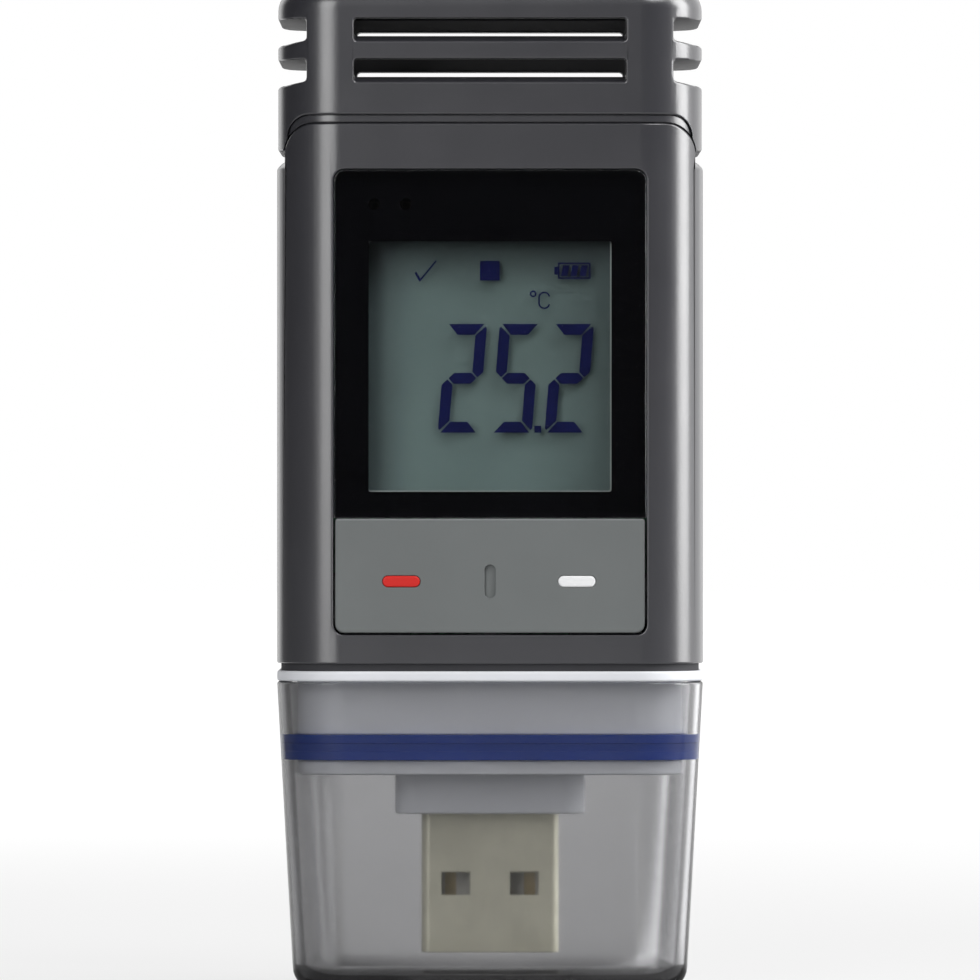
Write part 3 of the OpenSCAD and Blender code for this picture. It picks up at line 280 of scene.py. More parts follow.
plastic("casing", CASING_GREY, 0.31, 0.008, 0.05, 0.05, 3000.0,
        Specular_IOR_Level=0.8, Coat_Weight=1.0, Coat_Roughness=0.24, Coat_IOR=1.5)
plastic("key_plastic", tone(112, 116, 116), 0.55, 0.004, 0.03, 0.05, 5200.0)
plastic("red_inlay", tone(222, 32, 24), 0.38, 0.002, 0.04, 0.04, 6000.0)
plastic("white_inlay", tone(250, 251, 252), 0.38, 0.002, 0.02, 0.04, 6000.0)
plastic("window_print", tone(7, 7, 9), 0.6, 0.001, 0.1, 0.02, 9000.0, Specular_IOR_Level=0.0)
plastic("display_ink", tone(20, 23, 62), 0.6, 0.001, 0.06, 0.03, 9000.0, Specular_IOR_Level=0.0)
plastic("display_frame", tone(122, 128, 124), 0.5, 0.004, 0.03, 0.05, 3000.0)
plastic("zebra_rubber", tone(60, 60, 64), 0.7, 0.006, 0.1, 0.05, 3500.0)
plastic("chip_black", tone(34, 34, 37), 0.6, 0.01, 0.08, 0.06, 7000.0)
plastic("capacitor_tan", tone(150, 122, 84), 0.4, 0.004, 0.08, 0.06, 5000.0)
plastic("lamp_body", tone(232, 228, 204), 0.3, 0.002, 0.03, 0.03, 5000.0)
plastic("holder_black", tone(32, 33, 36), 0.5, 0.006, 0.06, 0.06, 3500.0)
plastic("seal_black", tone(54, 54, 58), 0.72, 0.008, 0.08, 0.05, 3000.0)
plastic("seal_blue", tone(2, 58, 156), 0.42, 0.004, 0.05, 0.05, 3000.0, Specular_IOR_Level=0.3)
plastic("base_plastic", tone(236, 238, 243), 0.42, 0.003, 0.02, 0.05, 4500.0)
plastic("guard_plastic", tone(224, 226, 222), 0.5, 0.003, 0.02, 0.05, 4500.0)
plastic("tongue_plastic", tone(206, 204, 196), 0.45, 0.003, 0.02, 0.04, 4500.0)
plastic("label_film", tone(200, 202, 204), 0.42, 0.002, 0.02, 0.06, 2500.0)
plastic("cell_sleeve", tone(58, 138, 74), 0.3, 0.002, 0.03, 0.05, 2500.0)
metal("plug_steel", tone(246, 243, 220), 0.34, 0.002, 0.03, metallic=0.4)
metal("screw_steel", tone(172, 172, 170), 0.32, 0.003, 0.12)
metal("can_steel", tone(196, 197, 198), 0.3, 0.002, 0.1)
metal("spring_steel", tone(194, 191, 182), 0.28, 0.002, 0.1)
metal("contact_gold", tone(190, 172, 132), 0.42, 0.001, 0.06)
print("opaque finishes so far:", len(FINISH))

# %% [markdown]
# ## Circuit board
# A board is green lacquer over copper. Where copper lies under it the lacquer looks
# lighter, in wavy bands. One wave texture, bent a little, stands for the tracks,
# which is enough for a surface that shows only when the casing is open.

# %% Board material
tree, surface, spot = plastic("board_green", tone(30, 104, 62), 0.35, 0.002, 0.05, 0.04, 3000.0)
tracks = node(tree, "ShaderNodeTexWave", wave_profile="SIN", bands_direction="X", Scale=260.0, Distortion=1.5)
feed(tree, spot, tracks.inputs["Vector"])
lacquer = colour_mix(tree, tracks.outputs["Fac"], tone(20, 84, 48), tone(46, 128, 78))
feed(tree, lacquer, surface.inputs["Colour"])
print("board material made")

# %% [markdown]
# ## Display background
# Behind the liquid crystal lies a reflector of frosted film, a pale grey green. The
# window's frame keeps light off its upper and left sides, its right side is a little
# darker too, and the film is brightest low in the middle. That fall of light and
# shade is painted on as a mask from the place on the piece, because the lamps here
# are softer than the small shadow under a real frame.

# %% Display group and material
field, given, result = new_group(
    "display field",
    {"Place": None, "Edge": (0.1, 0.1, 0.1, 1), "Middle": (0.4, 0.4, 0.4, 1)},
    ["Colour"])
axes = node(field, "ShaderNodeSeparateXYZ")
feed(field, given["Place"], axes.inputs["Vector"])
across, upward = axes.outputs["X"], axes.outputs["Z"]


def brighter(place, start, end, darkest):
    """Light that grows from its darkest at the start to full at the end, in millimetres"""
    return ramp(field, place, start * MM, end * MM, darkest, 1.0)


sideways = sums(field, "MULTIPLY", brighter(across, -10.8, -5.5, 0.4), brighter(across, 10.8, 2.0, 0.68))
downward = sums(field, "MULTIPLY", brighter(upward, 65.6, 60.5, 0.45), brighter(upward, 66.0, 46.0, 0.86))
light = sums(field, "MULTIPLY", sideways, downward)
feed(field, colour_mix(field, light, given["Edge"], given["Middle"]), result["Colour"])

tree, surface, spot = plastic("display_reflector", tone(110, 124, 122), 0.6, 0.001, 0.01, 0.02, 9000.0)
# The reflector's colour is this group's painted light and shade.
painted = node(tree, "ShaderNodeGroup", node_tree=field)
painted.inputs["Edge"].default_value = tone(20, 27, 36)
painted.inputs["Middle"].default_value = tone(97, 112, 110)
feed(tree, spot, painted.inputs["Place"])
feed(tree, painted.outputs["Colour"], surface.inputs["Colour"])
print("display field made")

# %% [markdown]
# ## Clear pieces
# The window, the two sheets of display glass, the light guides and the plug cap are
# clear. Cycles traces light through them, but its lamps don't shine through glass
# without long and noisy paths. So the shader asks Light Path if the ray only tests
# for a shadow, and then turns plain see-through in a tint of its own. The cap's
# plastic is smoky all through, so it also takes up light along the way inside.

# %% Clear materials
SMOKE_TINT = (0.5, 0.5, 0.508, 1)


def show_either(tree, choice, first, second):
    """Shows the first shader where the choice is 0 and the second where it is 1"""
    either = node(tree, "ShaderNodeMixShader")
    tree.links.new(choice, either.inputs["Fac"])
    tree.links.new(first, either.inputs[1])
    tree.links.new(second, either.inputs[2])
    tree.links.new(either.outputs["Shader"], tree.nodes["Material Output"].inputs["Surface"])


def clear(slot, colour, roughness, refraction, shadow_tint, bump=0.0, grain=900.0, smoke=0.0):
    """See-through material that lets the lamps through; smoke is the light lost in a millimetre"""
    tree, shader, spot = start_material(slot)
    shader.inputs["Transmission Weight"].default_value = 1.0
    shader.inputs["IOR"].default_value = refraction
    shader.inputs["Roughness"].default_value = roughness
    surface = node(tree, "ShaderNodeGroup", node_tree=moulded, Colour=colour, Drift=0.012, Grain=grain)
    tree.links.new(spot, surface.inputs["Place"])
    tree.links.new(surface.outputs["Colour"], shader.inputs["Base Color"])
    if bump:
        roughen(tree, shader, surface, bump)
    path = node(tree, "ShaderNodeLightPath")
    through = node(tree, "ShaderNodeBsdfTransparent", Color=shadow_tint)
    show_either(tree, path.outputs["Is Shadow Ray"], shader.outputs["BSDF"], through.outputs["BSDF"])
    if smoke:
        depth = node(tree, "ShaderNodeVolumeAbsorption", Color=SMOKE_TINT, Density=2 * smoke / MM)
        tree.links.new(depth.outputs["Volume"], tree.nodes["Material Output"].inputs["Volume"])


clear("window_pane", (0.94, 0.95, 0.96, 1), 0.02, 1.49, (0.93, 0.93, 0.94, 1))
clear("display_glass", (0.96, 0.98, 0.97, 1), 0.02, 1.5, (0.96, 0.97, 0.97, 1))
clear("light_guide", tone(60, 60, 64), 0.05, 1.49, (0.4, 0.4, 0.42, 1))
clear("smoke_clear", (0.82, 0.82, 0.825, 1), 0.12, 1.49, (0.99, 0.99, 0.99, 1),
      bump=0.0014, grain=1600.0, smoke=0.36)
print("finishes:", len(FINISH))

# %% [markdown]
# ## Finishes of the CAD solids
# Solids that stay as the CAD made them only need their finish. The record says which
# slot each one belongs to, so a short loop does it, and anything new in the frame
# would be caught here.

# %% Put the finishes on
slot_of = {part["node"]: part["material_slot"] for part in frame["record"]["subparts"]}
for name, solid in frame["nodes"].items():
    solid.data.materials.clear()
    solid.data.materials.append(FINISH[slot_of[name]])
print("solids with a finish:", len(slot_of))

# %% [markdown]
# ## Blocks to model with
# The logger's shapes are plates and blocks with round corners that are cut and
# joined. One block starts as a single square face: it is stretched, its corners
# are bevelled into arcs and the face is extruded. Everything is built in millimetres
# and brought to metres at the end, because cutting is more exact on numbers that
# aren't tiny.

# %% Plates, blocks and bars
def new_piece(name, bm):
    """Object from a bmesh, closed and with its faces turned outwards"""
    bmesh.ops.remove_doubles(bm, verts=bm.verts, dist=1e-5)
    bmesh.ops.recalc_face_normals(bm, faces=bm.faces)
    mesh = bpy.data.meshes.new(name)
    bm.to_mesh(mesh)
    bm.free()
    piece = bpy.data.objects.new(name, mesh)
    bpy.context.scene.collection.objects.link(piece)
    return piece


def bevel(bm, geom, width, segments, affect="EDGES"):
    """Rounds edges or corners with an arc"""
    bmesh.ops.bevel(bm, geom=geom, offset=width, offset_type="OFFSET", segments=segments, profile=0.5,
                    affect=affect, material=-1)


def top_edges(bm, height):
    """Edges that lie wholly above a height"""
    return [e for e in bm.edges if all(v.co.z > height for v in e.verts)]


def face_front(bm, place):
    """Turns what lies on the ground to face the front, and moves it to its place"""
    bmesh.ops.rotate(bm, matrix=Matrix.Rotation(math.radians(90), 3, "X"), verts=bm.verts)
    bmesh.ops.translate(bm, vec=place, verts=bm.verts)


def round_face(half_x, half_y, radius, segments, round_at="all"):
    """Bmesh of one flat face with all, its upper or its lower corners round"""
    bm = bmesh.new()
    bmesh.ops.create_grid(bm, x_segments=1, y_segments=1, size=1)
    bmesh.ops.scale(bm, vec=(half_x, half_y, 1), verts=bm.verts)
    side = {"all": 0, "upper": 1, "lower": -1}[round_at]
    corners = [v for v in bm.verts if v.co.y * side >= 0]
    if radius:
        bevel(bm, corners, radius, segments, "VERTICES")
    return bm


def round_plate(half_x, half_y, radius, depth, segments=14, round_at="all"):
    """Bmesh of a plate lying on the ground, with round corners"""
    bm = round_face(half_x, half_y, radius, segments, round_at)
    grown = bmesh.ops.extrude_face_region(bm, geom=bm.faces[:])
    lifted = [v for v in grown["geom"] if isinstance(v, bmesh.types.BMVert)]
    bmesh.ops.translate(bm, vec=(0, 0, depth), verts=lifted)
    return bm


def standing(name, half_x, half_y, radius, z0, z1, centre_y=0.0, segments=14):
    """Block with round upright corners"""
    bm = round_plate(half_x, half_y, radius, z1 - z0, segments)
    bmesh.ops.translate(bm, vec=(0, centre_y, z0), verts=bm.verts)
    return new_piece(name, bm)


def facing(name, half_x, z0, z1, radius, y0, y1, x=0.0, segments=8, round_at="all"):
    """Plate with round corners that faces the front, between two heights"""
    bm = round_plate(half_x, (z1 - z0) / 2, radius, y1 - y0, segments, round_at)
    face_front(bm, (x, y1, (z0 + z1) / 2))
    return new_piece(name, bm)


def box(name, low, high):
    """Plain block between two corners"""
    bm = bmesh.new()
    bmesh.ops.create_cube(bm, size=1)
    middle = [(a + b) / 2 for a, b in zip(low, high)]
    bmesh.ops.scale(bm, vec=[b - a for a, b in zip(low, high)], verts=bm.verts)
    bmesh.ops.translate(bm, vec=middle, verts=bm.verts)
    return new_piece(name, bm)


def bar(name, radius, x, z, y0, y1, segments=32):
    """Round bar from front to back"""
    bm = bmesh.new()
    bmesh.ops.create_cone(bm, cap_ends=True, segments=segments, radius1=radius, radius2=radius, depth=y1 - y0)
    face_front(bm, (x, (y0 + y1) / 2, z))
    return new_piece(name, bm)


def on_side(side, near, far):
    """Two distances from the middle on the left (-1) or right (1), lower place first"""
    return sorted((side * near, side * far))


print("blocks ready")

# %% [markdown]
# ## Cutting and joining
# Boolean modifiers do what a milling cutter does. Each one is turned into mesh at
# once, so the next one starts from a plain mesh, and the tool is thrown away.

# %% Cutters
def apply_modifiers(piece):
    """Turns a piece's modifiers into its mesh"""
    graph = bpy.context.evaluated_depsgraph_get()
    done = bpy.data.meshes.new_from_object(piece.evaluated_get(graph))
    piece.modifiers.clear()
    before = piece.data
    piece.data = done
    bpy.data.meshes.remove(before)


def work(piece, tool, operation):
    """Cuts, joins or intersects a piece with a tool, which is used up"""
    step = piece.modifiers.new("work", "BOOLEAN")
    step.operation = operation
    step.solver = "EXACT"
    step.object = tool
    apply_modifiers(piece)
    spent = tool.data
    bpy.data.objects.remove(tool)
    bpy.data.meshes.remove(spent)
    return piece


def cut(piece, tool):
    return work(piece, tool, "DIFFERENCE")


def join(piece, tool):
    return work(piece, tool, "UNION")


def keep(piece, tool):
    return work(piece, tool, "INTERSECT")


print("cutters ready")

# %% [markdown]
# ## Soft edges and shading
# No moulded edge is sharp. A Bevel modifier rounds all of a piece's edges at once,
# by its own small width. Flat faces would then look pillowy, because smooth shading
# blends them with the narrow rounds. So each corner gets a normal of its own, in
# which flat parts count by their area. The Weighted Normal modifier does nearly the
# same, but it weighs single faces, and a flat part that is cut into slivers streaks.

# %% Last touch of a piece
SHARP_ANGLE = 35
CLOSE = 0.002
SAME_PLANE, SMOOTH_TURN = 0.99999, 0.76


def flat_parts(bm):
    """Numbers the flat parts of a mesh: the part of each face, and each part's area"""
    part_of, area = {}, []
    for face in bm.faces:
        if face in part_of:
            continue
        part_of[face] = len(area)
        area.append(0.0)
        fresh = [face]
        while fresh:
            here = fresh.pop()
            area[-1] += here.calc_area()
            for edge in here.edges:
                for other in edge.link_faces:
                    if other not in part_of and other.normal.dot(face.normal) > SAME_PLANE:
                        part_of[other] = part_of[face]
                        fresh.append(other)
    return part_of, area


def even_shading(mesh):
    """Gives each corner of each face a normal in which the largest flat parts count most"""
    bm = bmesh.new()
    bm.from_mesh(mesh)
    part_of, area = flat_parts(bm)
    normals = []
    for face in bm.faces:
        for corner in face.loops:
            around = [f for f in corner.vert.link_faces if f.normal.dot(face.normal) > SMOOTH_TURN]
            near = {part_of[f]: f.normal for f in around}
            total = sum((normal * area[part] for part, normal in near.items()), Vector())
            normals.append(total.normalized() if total.length else face.normal.copy())
    bm.free()
    mesh.normals_split_custom_set(normals)


def soften_edges(piece, width, segments=3, whole=False):
    """Rounds every sharp edge; whole keeps faces with many corners in one"""
    bm = bmesh.new()
    bm.from_mesh(piece.data)
    bmesh.ops.remove_doubles(bm, verts=bm.verts, dist=CLOSE)
    bmesh.ops.dissolve_degenerate(bm, edges=bm.edges, dist=CLOSE)
    if not whole:
        wide = [f for f in bm.faces if len(f.verts) > 4]
        bmesh.ops.triangulate(bm, faces=wide, quad_method="BEAUTY", ngon_method="BEAUTY")
    bm.to_mesh(piece.data)
    bm.free()
    edge = piece.modifiers.new("soft edges", "BEVEL")
    edge.width, edge.segments = width, segments
    edge.limit_method = "ANGLE"
    edge.angle_limit = math.radians(SHARP_ANGLE)
    edge.use_clamp_overlap = False
    apply_modifiers(piece)


def settle(piece, body, slot, replaced, soften, segments=3, whole=False):
    """Softens a piece's edges, brings it to metres, ties it to its body and hides the solids it replaces"""
    if soften:
        soften_edges(piece, soften, segments, whole)
    piece.data.transform(Matrix.Scale(MM, 4))
    piece.data.shade_smooth()
    piece.data.materials.clear()
    piece.data.materials.append(FINISH[slot])
    even_shading(piece.data)
    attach(piece, body)
    if replaced:
        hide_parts(*replaced)
    print(piece.name, "faces:", len(piece.data.polygons))
    return piece


print("modelling tools ready")

# %% [markdown]
# ## Casing
# The casing is two moulded shells that meet in a seam round its sides. Seen from
# above it is a rectangle with very round corners. In front and at the back its upper
# edge stands high, and arches down to a shoulder at the sides, where the sensor cap's
# skirts come down. A set-back neck goes on into the sensor cap.
# It could be drawn as one outline and lofted, but cutting a block with an arch is
# how the mould's designer would do it, and it keeps all radii true.

# %% Outer form of both shells
HALF_W, HALF_D, CORNER = 18.6, 12.0, 5.6
WALL = 1.8
CASING_LOW, SHOULDER, FRONT_EDGE, NECK_TOP = 28.55, 72.2, 75.48, 76.9
SHOULDER_FALL = 0.5
ARCH_HALF, ARCH_R = 17.88, 2.58
NECK_IN = 0.65
SEAM_Y = 1.0
TONGUE_X = HALF_W - WALL + 0.375
LID_LOW, LEDGE_LOW = 75.0, 74.4
WIDE, BEYOND = 30, 20


def slab(name, y0, y1, z0, z1):
    """Block wider than the whole logger"""
    return box(name, (-WIDE, y0, z0), (WIDE, y1, z1))


def inset_block(name, inset, z0, z1, segments=18):
    """Standing block with the casing's outline, drawn in by a distance"""
    return standing(name, HALF_W - inset, HALF_D - inset, CORNER - inset, z0, z1, segments=segments)


def arch(name, half_x, radius, top, y0, y1):
    """Field with two round upper corners, from well below up to its top"""
    return facing(name, half_x, -10, top, radius, y0, y1, segments=10, round_at="upper")


def narrowed(name, grown, z0, z1, inset):
    """Block a little larger than the casing, whose top is drawn in evenly"""
    half_x, half_y = HALF_W + grown, HALF_D + grown
    bm = round_plate(half_x, half_y, CORNER + grown, z1 - z0, 18)
    top = [v for v in bm.verts if v.co.z > (z1 - z0) / 2]
    bmesh.ops.scale(bm, vec=(1 - inset / half_x, 1 - inset / half_y, 1), verts=top)
    bmesh.ops.translate(bm, vec=(0, 0, z0), verts=bm.verts)
    return new_piece(name, bm)


def casing_form(name):
    """Closed shell wall with its arched edge and its neck, before it is parted"""
    form = inset_block(name, 0, CASING_LOW, 80)
    low = SHOULDER - SHOULDER_FALL
    edge = slab("edge", -BEYOND, BEYOND, 0, low - 0.04)
    join(edge, narrowed("slope", 0.05, low - 0.05, SHOULDER, SHOULDER_FALL))
    join(edge, arch("arch", ARCH_HALF, ARCH_R, FRONT_EDGE, -21, 21))
    keep(form, edge)
    join(form, inset_block("neck", NECK_IN, 40, NECK_TOP))
    return cut(form, inset_block("inside", WALL, 20, 90, 12))


def ledge(y0, y1):
    """Half of the ledge that carries the top lid"""
    rim = inset_block("rim", WALL - 0.2, LEDGE_LOW, LID_LOW, 14)
    cut(rim, inset_block("hole", WALL + 0.8, 74, 76, 14))
    return keep(rim, slab("half", y0, y1, 70, 80))


front = casing_form("casing_front")
keep(front, slab("front half", -BEYOND, SEAM_Y, 0, 90))
print("front shell form:", len(front.data.polygons), "faces")

# %% [markdown]
# ## Openings of the front shell
# The window sits flush in a shallow recess, with a large opening behind it for the
# display and two small bores for the signal lamps. Below it the key has its own
# opening. Recess and opening run into each other, so one dark line parts window
# and key on the real logger.

# %% Cut the front shell
OPENING_HALF, RECESS_TOP = 13.62, 71.53
KEY_LOW, KEY_HIGH = 31.07, 41.28
OUTSIDE, BEHIND_FRONT = -13, -9
LAMP_PLACES, LAMP_Z = (-10.07, -7.33), 68.5
SCREW_X, SCREW_HEIGHTS = 12.6, (34.2, 70.4)
BOSS_Y = -9.4
AXLE_Y = -9.1

cut(front, facing("recess", OPENING_HALF, 40.5, RECESS_TOP, 1.0, OUTSIDE, -10.88, round_at="upper"))
cut(front, facing("view", 10.75, 43.3, 65.5, 1.0, OUTSIDE, BEHIND_FRONT))
cut(front, facing("key opening", OPENING_HALF, KEY_LOW, KEY_HIGH + 0.04, 0.9, OUTSIDE, BEHIND_FRONT,
                  round_at="lower"))
for x in LAMP_PLACES:
    cut(front, bar("lamp bore", 0.7, x, LAMP_Z, OUTSIDE, BEHIND_FRONT, 24))
join(front, ledge(-BEYOND, SEAM_Y))
for side in (-1, 1):
    mid = side * TONGUE_X
    cut(front, box("rebate", (mid - 0.425, -0.05, KEY_LOW - 0.05), (mid + 0.425, SEAM_Y + 1, RECESS_TOP)))
    x0, x1 = on_side(side, 14.4, 17.2)
    for z in SCREW_HEIGHTS:
        boss = bar("boss", 2.2, side * SCREW_X, z, BOSS_Y, SEAM_Y, 24)
        join(boss, box("web", (x0, BOSS_Y, z - 0.6), (x1, -0.1, z + 0.6)))
        cut(boss, bar("thread", 0.95, side * SCREW_X, z, -10, 2, 24))
        join(front, boss)
for z0, z1 in ((41.33, 42.35), (29.37, 31.02)):
    lug = box("lug", (-1.65, -10.6, z0), (1.65, -8.0, z1))
    bore = standing("bore", 0.55, 0.55, 0.549, z0 - 1, z1 + 1, AXLE_Y, 6)
    join(front, cut(lug, bore))
settle(front, "housing", "casing", ["front_shell"], 0.14, whole=True)

# %% [markdown]
# ## Rear shell
# The back is plain: a shallow seat for a bare label and four deep wells for the
# screws. The screws end in long posts inside, and a thin tongue on each side
# closes the seam.

# %% Rear shell
rear = casing_form("casing_rear")
keep(rear, slab("rear half", SEAM_Y, BEYOND, 0, 90))
for side in (-1, 1):
    for z in SCREW_HEIGHTS:
        join(rear, bar("post", 3.1, side * SCREW_X, z, SEAM_Y, 10.6, 32))
        cut(rear, bar("well", 2.0, side * SCREW_X, z, 8.5, 14, 40))
        cut(rear, bar("screw bore", 1.0, side * SCREW_X, z, 0, 12, 24))
    mid = side * TONGUE_X
    join(rear, box("tongue", (mid - 0.375, 0, KEY_LOW), (mid + 0.375, SEAM_Y + 0.4, 71.48)))
join(rear, ledge(SEAM_Y, BEYOND))
cut(rear, facing("label seat", 12.05, 41.35, 67.45, 1.0, 11.78, 13))
settle(rear, "housing", "casing", ["rear_shell"], 0.1, whole=True)

# %% [markdown]
# ## Land on the neck
# A low raised land runs round the neck just over the arched edge. It fills the gap
# under the sensor cap, so that a thin lit line shows there and no dark wedge. It is
# the casing's outline as a thin ring, trimmed above by the cap's arch and below by
# the casing's own.

# %% Land on the neck
land = inset_block("neck_land", 0.32, 72.4, 76.6)
cut(land, inset_block("neck", NECK_IN + 0.1, 70, 80))
keep(land, arch("inside the cap's arch", 17.58, 1.84, 76.19, -21, 21))
cut(land, arch("groove over the edge", ARCH_HALF + 0.15, ARCH_R + 0.15, FRONT_EDGE + 0.15, -22, 22))
settle(land, "housing", "casing", [], 0.04, whole=True)

# %% [markdown]
# ## Sensor cap
# The cap over the sensor is one moulding: a lid with a generous upper edge, two
# long slots in front and at the back, louvres at both ends, and two skirts that
# reach down to the casing's shoulders. The slots' floors rise inwards, so that rain
# runs out. It starts as a block whose upper edge is bevelled, and is hollowed and
# slotted with cutters whose lower faces are tilted.

# %% Outer form and hollow of the sensor cap
SKIRT, TOP = 73.25, 87.5

bm = round_plate(18.5, 11.9, 5.5, TOP - SKIRT, 18)
bevel(bm, top_edges(bm, TOP - SKIRT - 0.1), 2.0, 8)
bmesh.ops.translate(bm, vec=(0, 0, SKIRT), verts=bm.verts)
vent = new_piece("sensor_cap", bm)
cut(vent, standing("neck room", 18.0, 11.4, 5.0, 70, NECK_TOP + 0.05, segments=18))
cut(vent, standing("chamber", 14.7, 10.2, 2.8, 76, 85.7))
cut(vent, arch("edge", ARCH_HALF + 0.1, ARCH_R + 0.1, FRONT_EDGE + 0.1, -21, 21))
cut(vent, arch("lower edge", 17.65, 1.9, 76.26, -22, 22))
print("sensor cap form:", len(vent.data.polygons), "faces")

# %% [markdown]
# ## Slots and louvres
# Each slot cutter is a block with slightly round corners, as the mould's cores have
# them. Its lower corners are lifted towards the inside, or lowered towards the
# outside for the louvres, which is quicker than drawing a wedge. The passages behind
# the louvres are cut after the edges are softened and stay sharp, deep inside.

# %% Cut the slots and louvres
CEILINGS = (84.65, 81.1)
SLOT_HALF, SLOT_TALL = 11.85, 2.05
LOUVRE_X = 15.95
FRONT_SLOPE, BACK_SLOPE, LOUVRE_SLOPE = 0.33, 0.278, 0.17
X, Y = 0, 1


def tilted(name, low, high, axis, slope, pivot):
    """Block whose floor rises by a slope along one axis, counted from a pivot"""
    half, middle = (high[0] - low[0]) / 2, (high[0] + low[0]) / 2
    tool = facing(name, half, low[2], high[2], 0.3, low[1], high[1], x=middle, segments=3)
    for v in tool.data.vertices:
        if v.co.z < (low[2] + high[2]) / 2:
            v.co.z += slope * (v.co[axis] - pivot)
    return tool


for top in CEILINGS:
    low = top - SLOT_TALL
    cut(vent, tilted("front slot", (-SLOT_HALF, -13.5, low), (SLOT_HALF, -9.4, top), Y, FRONT_SLOPE, -12))
    cut(vent, tilted("back slot", (-SLOT_HALF, 9.4, low), (SLOT_HALF, 13.5, top - 0.15), Y, -BACK_SLOPE, 12))
    for side in (-1, 1):
        x0, x1 = on_side(side, LOUVRE_X, 20.0)
        pivot = side * LOUVRE_X
        cut(vent, tilted("louvre", (x0, -14, top - 1.9), (x1, 14, top), X, -side * LOUVRE_SLOPE, pivot))
soften_edges(vent, 0.18)
for top in CEILINGS:
    for side in (-1, 1):
        x0, x1 = on_side(side, 14.3, 16.35)
        cut(vent, box("passage", (x0, -5.5, top - 1.88), (x1, 5.5, top - 0.02)))
settle(vent, "vent_cap", "casing", ["vent_cap"], 0)

# %% [markdown]
# ## Plug cap
# The cap is a pot of clear smoky plastic, a little narrower at its foot so that it
# leaves the mould. Its outside and its inside are the same kind of form in two
# sizes: a rim outline, whose face is inset for the foot and pulled down, with the
# foot's edge rounded. Cutting one from the other leaves the wall. The inner corners
# are rounder than an even wall would make them, so the smoke looks darker there.

# %% Pot forms and plug cap
CAP_RIM, CAP_WALL, CAP_FLOOR = 26.9, 1.1, 1.2


def pot(name, inset, radius, rim, depth, foot_in, foot_edge):
    """Closed block like a pot's outside or inside, with its rim at a height"""
    bm = round_face(HALF_W - inset, HALF_D - inset, radius, 18)
    bmesh.ops.inset_region(bm, faces=bm.faces[:], thickness=foot_in, depth=0, use_even_offset=True,
                           use_boundary=True)
    foot = max(bm.faces, key=lambda f: f.calc_area())
    bmesh.ops.translate(bm, vec=(0, 0, -depth), verts=list(foot.verts))
    bevel(bm, list(foot.edges), foot_edge, 8)
    bmesh.ops.holes_fill(bm, edges=[e for e in bm.edges if e.is_boundary], sides=0)
    bmesh.ops.translate(bm, vec=(0, 0, rim), verts=bm.verts)
    return new_piece(name, bm)


cap = pot("plug_cap", 0, CORNER, CAP_RIM, CAP_RIM, 1.45, 1.9)
cut(cap, pot("room", CAP_WALL - 0.03, 4.95, CAP_RIM + 0.5, CAP_RIM - CAP_FLOOR + 0.5, 1.42, 1.1))
settle(cap, "protective_cap", "smoke_clear", ["protective_cap"], 0.18)

# %% [markdown]
# ## Window
# The window is a flat pane, ground round its edge, with black print behind it. Its
# lower corners are square, because the pane ends in the dark line over the key. Its
# edge is softened, so that it catches a line of light like the real one.

# %% Window pane
pane = facing("window_pane", OPENING_HALF - 0.07, 41.22, 71.45, 1.0, -12, -11.02, round_at="upper")
settle(pane, "housing", "window_pane", ["display_window"], 0.1, whole=True)

# %% [markdown]
# ## Print behind the window
# The pane is printed black on its back, except for the view on the display and two
# dots for the signal lamps. The print is only a tenth of a millimetre thick here, so
# its openings look as sharp as real ink. It could be a mask in the pane's material,
# but a thin plate of its own also shows right from the side.

# %% Black print
VIEW_HALF, VIEW_LOW, VIEW_HIGH = 10.55, 43.5, 65.28

ink = facing("window_print", OPENING_HALF - 0.09, 41.24, 71.43, 1.0, -11, -10.91, round_at="upper")
cut(ink, facing("view", VIEW_HALF, VIEW_LOW, VIEW_HIGH, 0.15, -12, -10, segments=4))
for x in LAMP_PLACES:
    cut(ink, bar("lamp dot", 0.5, x, LAMP_Z, -12, -10, 24))
settle(ink, "housing", "window_print", ["window_mask"], 0)

# %% [markdown]
# ## Display glass
# The display is a sandwich: two thin sheets of glass hold the crystal and the dark
# segments between them. Each sheet is a ground plate of its own, and a hair's gap
# parts it from the segments, so that the renderer never has to choose between two
# faces in one place. A pale lip of the display's frame shows at the right and at the
# bottom, where its opening is set a tenth of a millimetre off the view in the print.

# %% Display glass and lip
for where, high, y0, y1 in (("front", 67.2, -10.1, -9.42), ("rear", 65.8, -9.28, -8.62)):
    sheet = facing("display_" + where + "_glass", 12.2, 42.7, high, 0.1, y0, y1, segments=2)
    settle(sheet, "housing", "display_glass", ["lcd_" + where + "_glass"], 0.06, 2, whole=True)
lip = facing("display_lip", 10.7, 43.32, 65.48, 0.3, -10.4, -10.15, segments=3)
cut(lip, facing("view", VIEW_HALF, VIEW_LOW + 0.1, VIEW_HIGH + 0.1, 0.15, -12, -10, x=-0.1, segments=3))
settle(lip, "housing", "display_frame", [], 0)

# %% [markdown]
# ## Key
# One key serves two switches: it rocks on an upright axle behind its middle. A short
# groove marks the middle, and a red and a white inlay mark the two ends. Its face is
# nearly flat with a soft edge, so the plate gets a wider bevel than its recesses.
# The axle's arcs nearly meet, closer than the distance at which points are merged,
# so that they merge the same way in every run.

# %% Key plate
KEY_HALF, KEY_HALF_TALL, KEY_THICK = 13.46, 4.96, 1.6
BARREL_LOW, BARREL_HIGH = 31.22, 41.13
INLAYS = {"red": -7.7, "white": 7.55}

